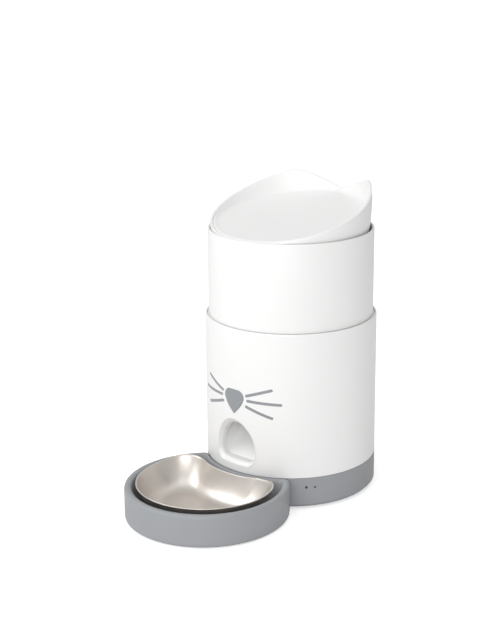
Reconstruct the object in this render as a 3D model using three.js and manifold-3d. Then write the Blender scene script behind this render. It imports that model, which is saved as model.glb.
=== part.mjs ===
// A smart pet feeder: a round body on a grey base, a lift-off hopper with its metering rotor in the neck,
// a lid with two swept ears, and a docked tray that carries a steel bowl.
// Millimetres, +Z up, front towards -Y. Angles are in degrees, seen from above: 0 is the front, 90 is +X.

import * as THREE from "three";
import { mergeVertices } from "three/addons/utils/BufferGeometryUtils.js";
import Module from "manifold-3d";

const wasm = await Module();
wasm.setup();

// Driving dimensions

// Shared by all pieces: the running and seating gap, the reach of a cutter past a face, the depth of a joint
// between solids that are fused, and the weld distance of shared vertices.
const gap = 0.3;
const overrun = 4;
const fuse = 0.6;
const weld = 0.001;

// Facets round a full turn, for large, middle and small round pieces.
const facets = { large: 48, middle: 32, small: 16, tiny: 8 };

const body = {
  radius: 97.5,
  wall: 2.2,
  seam_height: 37,
  top_height: 203.5,
  lip_round: 1.6,
  lip_share: 0.3,
  ledge_width: 2.5,
  ledge_height: 2,
  ledge_drop: 7.5,
};

const base = {
  foot_radius: 8,
  foot_height: 2.2,
  foot_inset: 15.5,
  foot_angles: [22, 132, 228, 338],
  wall: 3,
  floor: 2.5,
  edge_round: 3,
  register_height: 4,
  register_wall: 2,
};

const deck = {
  drop: 0.8,
  plate: 2.5,
  skirt_wall: 2.2,
  skirt_height: 6,
  recess_inset: 13.5,
  recess_depth: 16,
  recess_wall: 2,
  recess_from: -128,
  recess_to: 76,
  recess_lap: 0.5,
  sleeve_wall: 4.2,
  sleeve_drop: 4.5,
  ledge_plate: 2.5,
  ledge_gap: 1.2,
  key_margin: 2,
  rib_depth: 2.5,
  rib_width: 2,
  rib_first: -119.6,
  rib_step: 21.2,
  rib_count: 9,
};

// The hopper stands a little inside the body's wall.
const hopper = {
  inset: 4,
  height: 99,
  wall: 2.5,
  rim_round: 1,
  funnel_top: 36,
  funnel_bottom: 3,
  funnel_drop: 4,
  throat_radius: 48.6,
  throat_wall: 2.2,
  throat_length: 32,
  flare_radius: 60,
  flare_height: 4,
  ledge_reach: 5,
  ledge_height: 3,
  ledge_angle: -66,
  ledge_half_angle: 7,
  ledge_count: 4,
};

const collar = {
  radius: 54,
  band_radius: 54.6,
  top: 5,
  band_bottom: 20,
  bottom: 57,
  chamfer: 3,
  floor: 2,
  lug_reach: 2.6,
  lug_height: 7,
  lug_drop: 3.6,
  lug_half_angle: 6,
  slot_top: 11.6,
  slot_bottom: 19,
  slot_angle: -1,
  slot_half_angle: 4,
  slot_slant: 10,
  slot_count: 3,
};

const cup = {
  radius: 45,
  wall: 2.2,
  bottom: 72,
  floor: 2.5,
  top: 38,
  flange: 2,
  port_half_width: 20,
  port_front: 40.5,
  port_back: 23.5,
  boss_radius: 9.3,
};

const rotor = {
  hub_radius: 12,
  top: 42,
  hub_rise: 2,
  tip_gap: 0.9,
  paddle_count: 6,
  paddle_thickness: 2,
  paddle_first: 30,
  boss_length: 3.2,
  socket_depth: 12,
  socket_arm: 12,
  socket_slot: 4.2,
  spindle_radius: 5,
  spindle_length: 13.4,
};

const scraper = {
  plate: 2,
  half_angle: 50,
  hub_radius: 11,
  lip_height: 3.2,
  lip_width: 1.6,
  lip_inset: 4,
};

const agitator = {
  hub_radius: 9,
  hub_height: 8,
  arm_length: 43,
  arm_width: 5,
  arm_height: 3,
  prong_height: 15,
  prong_width: 4,
  turn: 25,
};

const drive = {
  module: 1,
  gear_teeth: 30,
  pinion_teeth: 12,
  addendum_share: 0.8,
  dedendum_share: 1.2,
  backlash: 0.2,
  pressure_angle: 20,
  gear_height: 6,
  cup_drop: 22.5,
  pinion_overhang: 1,
  shaft_radius: 6.9,
  journal_radius: 5,
  journal_height: 8,
  dog_arm: 11.2,
  dog_width: 3.4,
  pinion_shaft_radius: 2,
  pinion_shaft_length: 12,
  bearing_gap: 0.3,
};

const gearbox = {
  plate: 3,
  cover_wall: 1.5,
  cover_roof: 2.5,
  tooth_room: 1.2,
  cover_height: 17.2,
  post_radius: 5,
  post_x: 42,
  post_y: -6,
  rear_post_y: 50,
  arm_width: 9,
};

// The motor fills the room between the gearbox and the battery bay, less a clearance.
const motor = {
  clearance: 4.9,
  head_radius: 12.5,
  head_share: 0.47,
  can_radius: 12,
  cap_radius: 5,
  cap_height: 2,
  bore_depth: 10,
};

const chute = {
  half_width: 24,
  wall: 1.8,
  spring_rise: 28,
  mouth_front: 44,
  mouth_back: 22.4,
  elbow_drop: 24,
  brow_drop: 7,
  cup_gap: 0.4,
};

const outlet = {
  half_width: 28.2,
  arch: 36.8,
  bottom: 45.5,
  corner: 12,
  mouth_half_width: 24.9,
  mouth_arch: 31.5,
  mouth_bottom: 50,
  mouth_corner: 9,
  spring: 62,
  land: 0.6,
  bevel: 4.5,
  tunnel_wall: 1.8,
  tunnel_depth: 13,
  flange: 2.5,
  steps: 12,
  corner_steps: 3,
};

const nose = {
  half_width: 18.2,
  top: 133.6,
  tip: 101.1,
  crown: 0.8,
  bulge: 1.4,
  corner_round: 5.2,
  tip_round: 2.4,
  side_round: 100,
  proud: 0.2,
  flange: 2,
  flange_thickness: 1.8,
  side_gap: 0.35,
  travel: 1.5,
};

// The switch's height is over the nose's tip, and its board and bosses hang below that.
const nose_switch = {
  board_width: 30,
  board_height: 21,
  board_drop: 15,
  board_thickness: 1.6,
  body_size: 6.2,
  body_depth: 3.4,
  plunger_radius: 1.7,
  plunger_length: 0.8,
  height: 18.9,
  boss_radius: 2.5,
  boss_x: 12.2,
  boss_drop: 11.2,
};

// Each whisker runs from a near end to a far end: [across the front, height].
const whisker = {
  width: 2.4,
  thickness: 0.9,
  ends: [
    [[17.4, 129.3], [47.8, 140.3]],
    [[19.1, 123.1], [55.1, 123.7]],
    [[17.2, 117.4], [48.1, 107.4]],
  ],
};

const indicator = {
  light_angle: 50.7,
  light_height: 26,
  light_radius: 1.5,
  reset_angle: 56.6,
  reset_height: 25.5,
  reset_radius: 1.1,
  reset_recess: 0.4,
  travel: 0.6,
  board_width: 26,
  board_height: 18,
  board_thickness: 1.6,
  board_inset: 11,
  part_size: 4,
  part_depth: 1.6,
  post_width: 14,
  post_depth: 5,
};

// The cells are as large as the bay allows: shares of the body's radius, near three D cells.
const battery = {
  cell_radius_share: 0.17,
  cell_length_share: 0.615,
  front_share: 0.1,
  nub_radius: 4.5,
  nub_length: 1.5,
  cell_gap: 0.8,
  count: 3,
  bay_wall: 1.8,
  end_room: 1.4,
  contact: 0.5,
  contact_height: 20,
  contact_overhang: 10,
  door: 2.2,
  door_ledge: 3,
  latch_width: 20,
  latch_depth: 6,
  latch_recess: 1,
};

const board = {
  bay_gap: 10,
  thickness: 1.6,
  length: 60,
  bottom: 8,
  height: 50,
  guide_width: 6,
  guide_height: 16,
  guide_wall: 2,
  guide_inset: 8,
  chip: 14,
  chip_thickness: 2,
  module_width: 18,
  module_height: 25,
  module_thickness: 3,
  connector: 8,
  connector_pitch: 12,
  connector_depth: 6,
};

const inlet = {
  width: 9,
  height: 3.4,
  depth: 8,
  wall: 0.4,
  tongue: 0.7,
  tongue_inset: 1.6,
  socket_depth: 6.5,
  level: 16,
  recess: 0.6,
  board_width: 16,
  board_length: 12,
  board_thickness: 1.2,
  post_width: 8,
};

const screw = {
  inset: 13.5,
  angles: [38, 112, 248, 322],
  head_radius: 3.6,
  head_height: 2.4,
  shank_radius: 1.5,
  length: 24,
  well_radius: 5.2,
  well_depth: 20,
  boss_radius: 5.2,
  boss_height: 20,
  hole_gap: 0.25,
};

// The rim shares are the inset, the inset at the back and the drop below the top, as shares of edge_round.
// The wall shares are the inset and the inset at the back, as shares of wall_step.
const tray = {
  radius: 91,
  reach: 44.5,
  height: 37.5,
  pad_height: 1.2,
  pad_radius: 7,
  pad_circle_share: 0.78,
  pad_angles: { front: 0, left: 250, right: 110 },
  edge_round: 3.5,
  corner_round: 5,
  rim_width: 8,
  rim_drop: 2,
  rear_rim: 5,
  floor: 3,
  wall_slope: 17,
  wall_step: 8,
  seat_radius: 40,
  seat_wall: 2.5,
  seat_height: 4,
  rim_shares: [[0, 0, 1.6], [0.5, 0.25, 0.5], [1.4, 0.6, 0]],
  shoulder_shares: [0.6, 0.4],
  wall_shares: [[1, 0.7], [2, 1.4], [2.6, 2]],
  tongue_half_width: 28,
  tongue_height: 6,
  tongue_level: 7,
  tongue_length: 18,
};

// The bowl's wall shares are the inset as a share of floor_inset, the height as a share of the depth, and
// the ear's share.
const bowl = {
  radius: 75.5,
  body_gap: 11,
  corner_round: 11,
  corner_share: 0.25,
  ear_rise: 5,
  ear_spread: 15,
  thickness: 0.9,
  bead: 0.9,
  depth: 30.5,
  floor_inset: 26,
  back_share: 0.8,
  wall_shares: [[0, 1, 1], [0.13, 0.8, 0.75], [0.37, 0.45, 0.35], [0.68, 0.13, 0.08], [1, 0, 0]],
};

// The lid fits inside the hopper's rim.
const lid = {
  side_gap: 0.5,
  edge_inset: 3.5,
  edge_width: 2.8,
  sink: 7,
  centre_rise: 19.6,
  slope_share: 0.155,
  plate: 2.5,
  lip: 1,
  floor_inset: 12.5,
  core_radius: 30,
  crest_inset: 2,
  crest_width: 1.7,
  cove: 4,
  ear_rise: 24,
  ear_from: 45,
  ear_peak: 150,
  ear_valley: 4,
  ear_round: 2,
  rise_power: 1.6,
  fall_power: 1.2,
  rise_end_share: 2,
  fall_start_share: -0.6,
  swell_share: 0.35,
  swell_height_share: 0.32,
  side_height_share: 0.66,
  shoulder_share: 0.35,
  shoulder_drop_share: 0.5,
  inner_drop_share: 0.6,
  cove_share: 0.4,
  cove_ear_share: 0.42,
  cove_lip_share: 0.2,
  foot_ear_share: 0.12,
};

const lid_ring = {
  inset: 1.4,
  wall: 2.4,
  height: 5.5,
  collar_height: 1.6,
  lug_reach: 3.4,
  lug_height: 2.6,
  lug_angle: 5,
  lug_half_angle: 8,
  lug_count: 4,
};

// Sizes worked out from the driving dimensions

const base_bottom = base.foot_height + gap;
const floor_top = base_bottom + base.floor;
const shell_bottom = body.seam_height + gap;
const shell_inner = body.radius - body.wall;
const base_inner = body.radius - base.wall;
const deck_top = body.top_height - deck.drop;
const deck_radius = shell_inner - gap;
const recess_radius = body.radius - deck.recess_inset;
const hopper_seat = deck_top + gap;
const hopper_radius = body.radius - hopper.inset;
const lid_radius = hopper_radius - hopper.wall - lid.side_gap;
const lid_edge = lid_radius - lid.edge_inset;
const lid_floor = lid_radius - lid.floor_inset;
const lid_ring_radius = lid_edge - lid_ring.inset;
const socket_radius = collar.band_radius + gap * 1.5;
const sleeve_radius = socket_radius + deck.sleeve_wall;
const collar_bottom = hopper_seat - collar.bottom;
const collar_inner = hopper.throat_radius + hopper.throat_wall + gap;
const cup_bottom = hopper_seat - cup.bottom;
const cup_inner = cup.radius - cup.wall;
const gear_radius = (drive.module * drive.gear_teeth) / 2;
const pinion_radius = (drive.module * drive.pinion_teeth) / 2;
const pinion_y = gear_radius + pinion_radius;
const gear_bottom = cup_bottom - drive.cup_drop;
const frame_top = gear_bottom - drive.journal_height + gearbox.plate;
const frame_bottom = frame_top - gearbox.plate;
const tray_bottom = tray.pad_height + gap;
const cell_radius = body.radius * battery.cell_radius_share;
const cell_length = body.radius * battery.cell_length_share;
const cell_pitch = cell_radius * 2 + battery.cell_gap;
const bay_front = body.radius * battery.front_share;
const bay_half_width = cell_pitch * (battery.count / 2) + gap;
const cell_axis = base_bottom + battery.door + gap + cell_radius;
const bay_top = cell_axis + cell_radius + gap;
const bay_length = cell_length + battery.nub_length + 2 * battery.end_room;
const board_x = -(bay_half_width + battery.bay_wall + board.bay_gap);
const screw_circle = body.radius - screw.inset;
const foot_circle = body.radius - base.foot_inset;
const board_circle = body.radius - indicator.board_inset;
const tray_distance = body.radius + tray.reach;
const switch_height = nose.tip + nose_switch.height;
const tray_front = tray_distance + tray.radius;
const centre_shift = (tray_front - body.radius) / 2;

// Looks

const looks = {
  white: { color: 0xf6f6f4, roughness: 0.28, metalness: 0 },
  grey: { color: 0x8f9296, roughness: 0.45, metalness: 0 },
  mid_grey: { color: 0xa0a3a6, roughness: 0.4, metalness: 0 },
  steel: { color: 0xc9c0b4, roughness: 0.3, metalness: 1 },
  bright_metal: { color: 0xd2d2d2, roughness: 0.25, metalness: 1 },
  rubber: { color: 0x3a3b3d, roughness: 0.9, metalness: 0 },
  silicone: { color: 0xc9cdd0, roughness: 0.6, metalness: 0 },
  acetal: { color: 0xe8e4da, roughness: 0.4, metalness: 0 },
  circuit: { color: 0x2f6b45, roughness: 0.6, metalness: 0 },
  lens: { color: 0x2a2c30, roughness: 0.1, metalness: 0 },
  cell: { color: 0x4a4e55, roughness: 0.4, metalness: 0.3 },
};

// Solids and their joins

const rad = THREE.MathUtils.degToRad;

function solid(geometry) {
  const bare = geometry.clone();
  bare.deleteAttribute("normal");
  bare.deleteAttribute("uv");
  const merged = mergeVertices(bare, weld);
  const index = merged.index.array;
  const kept = [];
  for (let i = 0; i < index.length; i += 3) {
    const [a, b, c] = [index[i], index[i + 1], index[i + 2]];
    if (a !== b && b !== c && c !== a) kept.push(a, b, c);
  }
  const made = new wasm.Manifold(
    new wasm.Mesh({
      numProp: 3,
      vertProperties: merged.attributes.position.array,
      triVerts: new Uint32Array(kept),
    }),
  );
  if (made.volume() >= 0) return made;
  for (let i = 0; i < kept.length; i += 3) [kept[i], kept[i + 1]] = [kept[i + 1], kept[i]];
  return new wasm.Manifold(
    new wasm.Mesh({
      numProp: 3,
      vertProperties: merged.attributes.position.array,
      triVerts: new Uint32Array(kept),
    }),
  );
}

function geometryOf(shape) {
  const mesh = shape.getMesh();
  const geometry = new THREE.BufferGeometry();
  geometry.setAttribute("position", new THREE.Float32BufferAttribute(mesh.vertProperties, 3));
  geometry.setIndex(new THREE.Uint32BufferAttribute(mesh.triVerts, 1));
  const flat = geometry.toNonIndexed();
  flat.computeVertexNormals();
  return flat;
}

const join = (first, ...others) => others.reduce((whole, other) => whole.add(other), first);
const cut = (first, ...others) => others.reduce((whole, other) => whole.subtract(other), first);
const common = (first, ...others) => others.reduce((whole, other) => whole.intersect(other), first);
const move = (shape, x, y, z) => shape.translate([x, y, z]);
const turn = (shape, degrees) => shape.rotate([0, 0, degrees]);

// An outline of [x, height] raised along Z is stood up, so that it faces the front.
const facing = (shape) => shape.rotate([90, 0, 0]);

// A profile of [radius, height] points turned round the Z axis. One that doesn't start and end on the axis
// closes on itself.
function revolve(profile, segments) {
  const points = profile.map(([radius, height]) => new THREE.Vector2(radius, height));
  const open = profile[0][0] === 0 && profile[profile.length - 1][0] === 0;
  if (!open) points.push(points[0].clone());
  return solid(new THREE.LatheGeometry(points, segments).rotateX(Math.PI / 2));
}

// A disc or rod, standing from one height to another.
function rod(radius, bottom, top, segments = facets.small) {
  return revolve([[0, bottom], [radius, bottom], [radius, top], [0, top]], segments);
}

// A ring with an upright wall.
function tube(inner, outer, bottom, top, segments = facets.middle) {
  return revolve([[inner, bottom], [outer, bottom], [outer, top], [inner, top]], segments);
}

// An outline of [x, y] points raised from one height to another.
function prism(outline, bottom, top) {
  const shape = new THREE.Shape(outline.map(([x, y]) => new THREE.Vector2(x, y)));
  const raised = new THREE.ExtrudeGeometry(shape, { depth: top - bottom, bevelEnabled: false });
  return solid(raised.translate(0, 0, bottom));
}

function block(x0, x1, y0, y1, z0, z1) {
  return prism([[x0, y0], [x1, y0], [x1, y1], [x0, y1]], z0, z1);
}

// The plan point at a radius and an angle from the front.
const around = (radius, degrees) => [radius * Math.sin(rad(degrees)), -radius * Math.cos(rad(degrees))];

// A piece of a ring between two angles.
function sector(inner, outer, from, to, bottom, top, steps = 6) {
  const angles = Array.from({ length: steps + 1 }, (_, i) => from + ((to - from) * i) / steps);
  const far = angles.map((degrees) => around(outer, degrees));
  const near = inner > 0 ? angles.reverse().map((degrees) => around(inner, degrees)) : [[0, 0]];
  return prism([...far, ...near], bottom, top);
}

// Rings of the same number of points joined by a skin, and closed by a flat face on the first and last.
function loft(rings) {
  const count = rings[0].length;
  const positions = rings.flat(2);
  const triangles = [];
  for (let k = 0; k + 1 < rings.length; k++) {
    for (let i = 0; i < count; i++) {
      const j = (i + 1) % count;
      const [a, b, c, d] = [k * count + i, k * count + j, (k + 1) * count + i, (k + 1) * count + j];
      triangles.push(a, b, c, b, d, c);
    }
  }
  for (const [k, flip] of [[0, false], [rings.length - 1, true]]) {
    const contour = rings[k].map(([x, y]) => new THREE.Vector2(x, y));
    for (const [a, b, c] of THREE.ShapeUtils.triangulateShape(contour, [])) {
      const [p, q, r] = [a, b, c].map((n) => k * count + n);
      triangles.push(...(flip ? [p, q, r] : [p, r, q]));
    }
  }
  const geometry = new THREE.BufferGeometry();
  geometry.setAttribute("position", new THREE.Float32BufferAttribute(positions, 3));
  geometry.setIndex(triangles);
  return solid(geometry);
}

// A closed outline whose corners are rounded, from its sharp corners in order and the radius of each.
function rounded(corners, radii, steps = 4) {
  const points = [];
  corners.forEach((corner, i) => {
    const radius = radii[i];
    const here = new THREE.Vector2(...corner);
    const last = corners.at(i - 1);
    const next = corners.at((i + 1) % corners.length);
    const before = new THREE.Vector2(...last).sub(here).normalize();
    const after = new THREE.Vector2(...next).sub(here).normalize();
    const half = Math.acos(THREE.MathUtils.clamp(before.dot(after), -1, 1)) / 2;
    const centre = before.clone().add(after).normalize().multiplyScalar(radius / Math.sin(half)).add(here);
    const start = before.multiplyScalar(radius / Math.tan(half)).add(here).sub(centre);
    const end = after.multiplyScalar(radius / Math.tan(half)).add(here).sub(centre);
    const sweep = Math.atan2(start.cross(end), start.dot(end));
    for (let k = 0; k <= steps; k++) {
      const at = start.clone().rotateAround(new THREE.Vector2(), (sweep * k) / steps).add(centre);
      points.push([at.x, at.y]);
    }
  });
  return points;
}

// The scene graph

const feeder = new THREE.Group();
feeder.position.y = centre_shift;

function assembly(parent, x, y, z) {
  const group = new THREE.Group();
  group.position.set(x, y, z);
  parent.add(group);
  return group;
}

const base_assembly = assembly(feeder, 0, 0, 0);
const hopper_assembly = assembly(feeder, 0, 0, hopper_seat);
const lid_assembly = assembly(hopper_assembly, 0, 0, hopper.height - lid.sink);
const tray_assembly = assembly(feeder, 0, -tray_distance, 0);

function piece(group, name, shape, look) {
  const mesh = new THREE.Mesh(geometryOf(shape), new THREE.MeshStandardMaterial(looks[look]));
  mesh.name = name;
  group.add(mesh);
}

// Outlines that the shell shares with what it carries

// A triangle on its tip, with bulging sides, a low crown and rounded corners, grown about its middle.
function nose_outline(grow) {
  const shoulder = nose.top - nose.crown;
  const side = new THREE.Vector2(nose.half_width, shoulder - nose.tip);
  const out = new THREE.Vector2(side.y, -side.x).setLength(nose.bulge);
  const swell = side.multiplyScalar(1 / 2).add(out);
  const corners = [
    [-nose.half_width, shoulder],
    [-swell.x, nose.tip + swell.y],
    [0, nose.tip],
    [swell.x, nose.tip + swell.y],
    [nose.half_width, shoulder],
    [0, nose.top],
  ];
  const radii = [
    nose.corner_round,
    nose.side_round,
    nose.tip_round,
    nose.side_round,
    nose.corner_round,
    nose.side_round,
  ];
  const middle = (nose.top * 2 + nose.tip) / 3;
  const reach = nose.top - middle;
  const scale = (reach + grow) / reach;
  const spread = corners.map(([x, z]) => [x * scale, middle + (z - middle) * scale]);
  return rounded(spread, radii);
}

// A bar with round ends, wider by a margin all round.
function whisker_outline([near, far], side, margin) {
  const start = new THREE.Vector2(near[0] * side, near[1]);
  const end = new THREE.Vector2(far[0] * side, far[1]);
  const half = whisker.width / 2 + margin;
  const heading = end.clone().sub(start).angle();
  const points = [];
  const steps = facets.tiny / 2;
  for (const [centre, from] of [[end, heading - Math.PI / 2], [start, heading + Math.PI / 2]]) {
    for (let k = 0; k <= steps; k++) {
      const angle = from + (Math.PI * k) / steps;
      points.push([centre.x + Math.cos(angle) * half, centre.y + Math.sin(angle) * half]);
    }
  }
  return points;
}

// A bar's outline carried straight back, between two radii.
function whisker_layer(ends, side, margin, inner, outer) {
  const ring = tube(inner, outer, body.seam_height, body.top_height, facets.large);
  return common(facing(prism(whisker_outline(ends, side, margin), 0, outer + overrun)), ring);
}

// A rod that points outwards from the axis at an angle, between two radii.
function spoke(radius, inner, outer, degrees, height, segments = facets.tiny) {
  const lying = rod(radius, inner, outer, segments).rotate([90, 0, 0]);
  return turn(move(lying, 0, 0, height), degrees);
}

// The white outer shell

function outer_shell() {
  const round = body.lip_round;
  const ledge_top = deck_top - body.ledge_drop + gap;
  const wall = revolve(
    [
      [body.radius, shell_bottom],
      [body.radius, body.top_height - round],
      [body.radius - round * body.lip_share, body.top_height - round * body.lip_share],
      [body.radius - round, body.top_height],
      [shell_inner, body.top_height],
      [shell_inner, ledge_top],
      [shell_inner - body.ledge_width, ledge_top],
      [shell_inner - body.ledge_width, ledge_top - body.ledge_height],
      [shell_inner, ledge_top - body.ledge_height - body.ledge_width],
      [shell_inner, shell_bottom],
    ],
    facets.large,
  );
  const bosses = screw.angles.map((degrees) => {
    const [x, y] = around(screw_circle, degrees);
    const post_top = shell_bottom + screw.boss_height;
    const post = move(rod(screw.boss_radius, shell_bottom, post_top, facets.tiny), x, y, 0);
    const web = turn(
      block(
        -screw.boss_radius / 2,
        screw.boss_radius / 2,
        -shell_inner - fuse,
        -screw_circle,
        shell_bottom + base.register_height + gap,
        post_top,
      ),
      degrees,
    );
    const hole_top = screw.length + screw.well_depth + base_bottom + gap;
    const hole = rod(screw.shank_radius + screw.hole_gap, base_bottom, hole_top, facets.tiny);
    return cut(join(post, web), move(hole, x, y, 0));
  });
  const switch_bosses = [-1, 1].map((side) => {
    const tip = shell_inner - Math.abs(nose_board_front);
    const stem = rod(nose_switch.boss_radius, 0, tip + fuse, facets.tiny).rotate([90, 0, 0]);
    const height = switch_height - nose_switch.boss_drop;
    return move(stem, side * nose_switch.boss_x, nose_board_front - gap, height);
  });
  const outlet_hole = facing(prism(arch_outline(gap), 0, body.radius + overrun));
  const inside = rod(shell_inner - body.ledge_width, shell_bottom - overrun, body.top_height, facets.large);
  const nose_hole = nose_layer(nose.side_gap, shell_inner - overrun, body.radius + overrun);
  const slots = whisker_pairs().map(([ends, side]) =>
    whisker_layer(ends, side, gap, body.radius - whisker.thickness - gap, body.radius + overrun),
  );
  const front_half = cut(outlet_hole, inside);
  return cut(join(wall, ...bosses, ...switch_bosses), front_half, nose_hole, ...slots);
}

const nose_board_front = -(shell_inner - gap * 2 - nose.flange_thickness - nose.travel - gap
  - nose_switch.plunger_length - nose_switch.body_depth);

const whisker_pairs = () => whisker.ends.flatMap((ends) => [[ends, -1], [ends, 1]]);

function whiskers() {
  whisker_pairs().forEach(([ends, side], i) => {
    const place = ["upper", "middle", "lower"][Math.floor(i / 2)];
    const bar = whisker_layer(ends, side, 0, body.radius - whisker.thickness, body.radius);
    piece(base_assembly, `whisker_${place}_${side < 0 ? "left" : "right"}`, bar, "mid_grey");
  });
}

// The nose: a cap that stands in the shell's opening, on a wider flange behind the wall

// A layer of the nose, wider by a margin all round, between two radii.
function nose_layer(margin, inner, outer) {
  const ring = tube(inner, outer, 0, body.top_height, facets.large);
  return common(facing(prism(nose_outline(margin), inner - overrun, outer + overrun)), ring);
}

function nose_button() {
  const flange_outer = shell_inner - gap;
  const cap = nose_layer(0, flange_outer - fuse, body.radius + nose.proud);
  const flange = nose_layer(nose.flange, flange_outer - nose.flange_thickness, flange_outer);
  return join(cap, flange);
}

function nose_switch_board() {
  const front = nose_board_front;
  const middle = switch_height;
  const bottom = middle - nose_switch.board_drop;
  const half = nose_switch.body_size / 2;
  const plate = block(
    -nose_switch.board_width / 2,
    nose_switch.board_width / 2,
    front,
    front + nose_switch.board_thickness,
    bottom,
    bottom + nose_switch.board_height,
  );
  const face = front - nose_switch.body_depth;
  const shell = block(-half, half, face, front + fuse, middle - half, middle + half);
  const reach = nose_switch.body_depth + nose_switch.plunger_length;
  const plunger = rod(nose_switch.plunger_radius, 0, reach, facets.tiny).rotate([90, 0, 0]);
  return join(plate, shell, move(plunger, 0, front, middle));
}

// The top deck: a flat ring with a deep recess over most of its front, and a ribbed sleeve for the neck

function top_deck() {
  const skirt_bottom = deck_top - deck.skirt_height;
  const sleeve_top = deck_top - deck.sleeve_drop;
  const ledge_top = collar_bottom - gap;
  const ledge_bottom = ledge_top - deck.ledge_plate;
  const hole = cup.radius + deck.ledge_gap;
  const recess_floor = deck_top - deck.recess_depth;
  const skirt_inner = deck_radius - deck.skirt_wall;
  const skirt = [
    [deck_radius, deck_top],
    [deck_radius, skirt_bottom],
    [skirt_inner, skirt_bottom],
    [skirt_inner, deck_top - deck.plate],
  ];
  const sleeve = [
    [sleeve_radius, ledge_bottom],
    [hole, ledge_bottom],
    [hole, ledge_top],
    [socket_radius, ledge_top],
  ];
  const flare = (hopper.flare_radius - collar.band_radius) / (hopper.flare_height + collar.top - gap);
  const flare_start = hopper_seat - collar.top;
  const plateau = revolve(
    [
      ...skirt,
      [sleeve_radius, deck_top - deck.plate],
      ...sleeve,
      [socket_radius, flare_start],
      [socket_radius + flare * (deck_top - flare_start), deck_top],
    ],
    facets.large,
  );
  const recessed = revolve(
    [
      ...skirt,
      [recess_radius + deck.recess_wall, deck_top - deck.plate],
      [recess_radius + deck.recess_wall, recess_floor - deck.recess_wall],
      [sleeve_radius, recess_floor - deck.recess_wall],
      ...sleeve,
      [socket_radius, sleeve_top],
      [sleeve_radius, sleeve_top],
      [sleeve_radius, recess_floor],
      [recess_radius, recess_floor],
      [recess_radius, deck_top],
    ],
    facets.large,
  );
  const reach = body.radius + overrun;
  const wedge = (lap) =>
    sector(
      0,
      reach,
      deck.recess_from - lap,
      deck.recess_to + lap,
      ledge_bottom - overrun,
      deck_top + overrun,
      facets.large,
    );
  const end_walls = [deck.recess_from, deck.recess_to].map((degrees) =>
    turn(
      block(
        -deck.recess_wall / 2,
        deck.recess_wall / 2,
        -recess_radius - fuse,
        -sleeve_radius + fuse,
        recess_floor - deck.recess_wall,
        deck_top,
      ),
      degrees,
    ),
  );
  const ribs = Array.from({ length: deck.rib_count }, (_, i) =>
    turn(
      block(
        -deck.rib_width / 2,
        deck.rib_width / 2,
        -sleeve_radius - deck.rib_depth,
        -sleeve_radius + fuse,
        recess_floor - fuse,
        sleeve_top - deck.rib_width,
      ),
      deck.rib_first + i * deck.rib_step,
    ),
  );
  const half = collar.lug_half_angle + deck.key_margin;
  const key_radius = collar.radius + collar.lug_reach + gap * 2;
  const keyways = [90, 270].map((degrees) =>
    sector(hole, key_radius, degrees - half, degrees + half, ledge_top, deck_top + overrun, 4),
  );
  const floor = common(recessed, wedge(deck.recess_lap));
  return cut(join(cut(plateau, wedge(0)), floor, ...end_walls, ...ribs), ...keyways);
}

// The outlet: a bevelled arch, flush with the shell, on a short tunnel

// An arch with an elliptical head and round lower corners.
function arch(half, rise, bottom, corner) {
  const points = [];
  for (let i = 0; i <= outlet.steps; i++) {
    const angle = (Math.PI * i) / outlet.steps;
    points.push([half * Math.cos(angle), outlet.spring + rise * Math.sin(angle)]);
  }
  for (const [side, from] of [[-1, Math.PI], [1, Math.PI * 1.5]]) {
    for (let i = 0; i <= outlet.corner_steps; i++) {
      const angle = from + (Math.PI * i) / (outlet.corner_steps * 2);
      const across = side * (half - corner) + corner * Math.cos(angle);
      points.push([across, bottom + corner + corner * Math.sin(angle)]);
    }
  }
  return points;
}

const arch_outline = (margin) =>
  arch(outlet.half_width + margin, outlet.arch + margin, outlet.bottom - margin, outlet.corner + margin);
const mouth_outline = (margin) =>
  arch(
    outlet.mouth_half_width + margin,
    outlet.mouth_arch + margin,
    outlet.mouth_bottom - margin,
    outlet.mouth_corner + margin,
  );

// A ring of the outline that lies a depth under the body's skin, and one that is flat.
const skin_ring = (outline, depth) =>
  outline.map(([x, height]) => [x, height, Math.sqrt(body.radius * body.radius - x * x) - depth]);
const flat_ring = (outline, level) => outline.map(([x, height]) => [x, height, level]);

function outlet_bezel() {
  const back = body.radius - outlet.tunnel_depth;
  const under = outlet.bevel + outlet.flange;
  const rim = loft([skin_ring(arch_outline(0), under), skin_ring(arch_outline(0), -overrun)]);
  const tunnel = mouth_outline(outlet.tunnel_wall);
  const sleeve = loft([flat_ring(tunnel, back), skin_ring(tunnel, outlet.bevel)]);
  const mouth = loft([
    flat_ring(mouth_outline(0), back - overrun),
    skin_ring(mouth_outline(0), outlet.bevel),
    skin_ring(arch_outline(-outlet.land), 0),
    skin_ring(arch_outline(-outlet.land), -overrun * 2),
  ]);
  const skin = rod(body.radius, 0, body.top_height, facets.large);
  return common(facing(cut(join(rim, sleeve), mouth)), skin);
}

// The chute: a sloping duct from under the cup's port to the outlet

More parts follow.
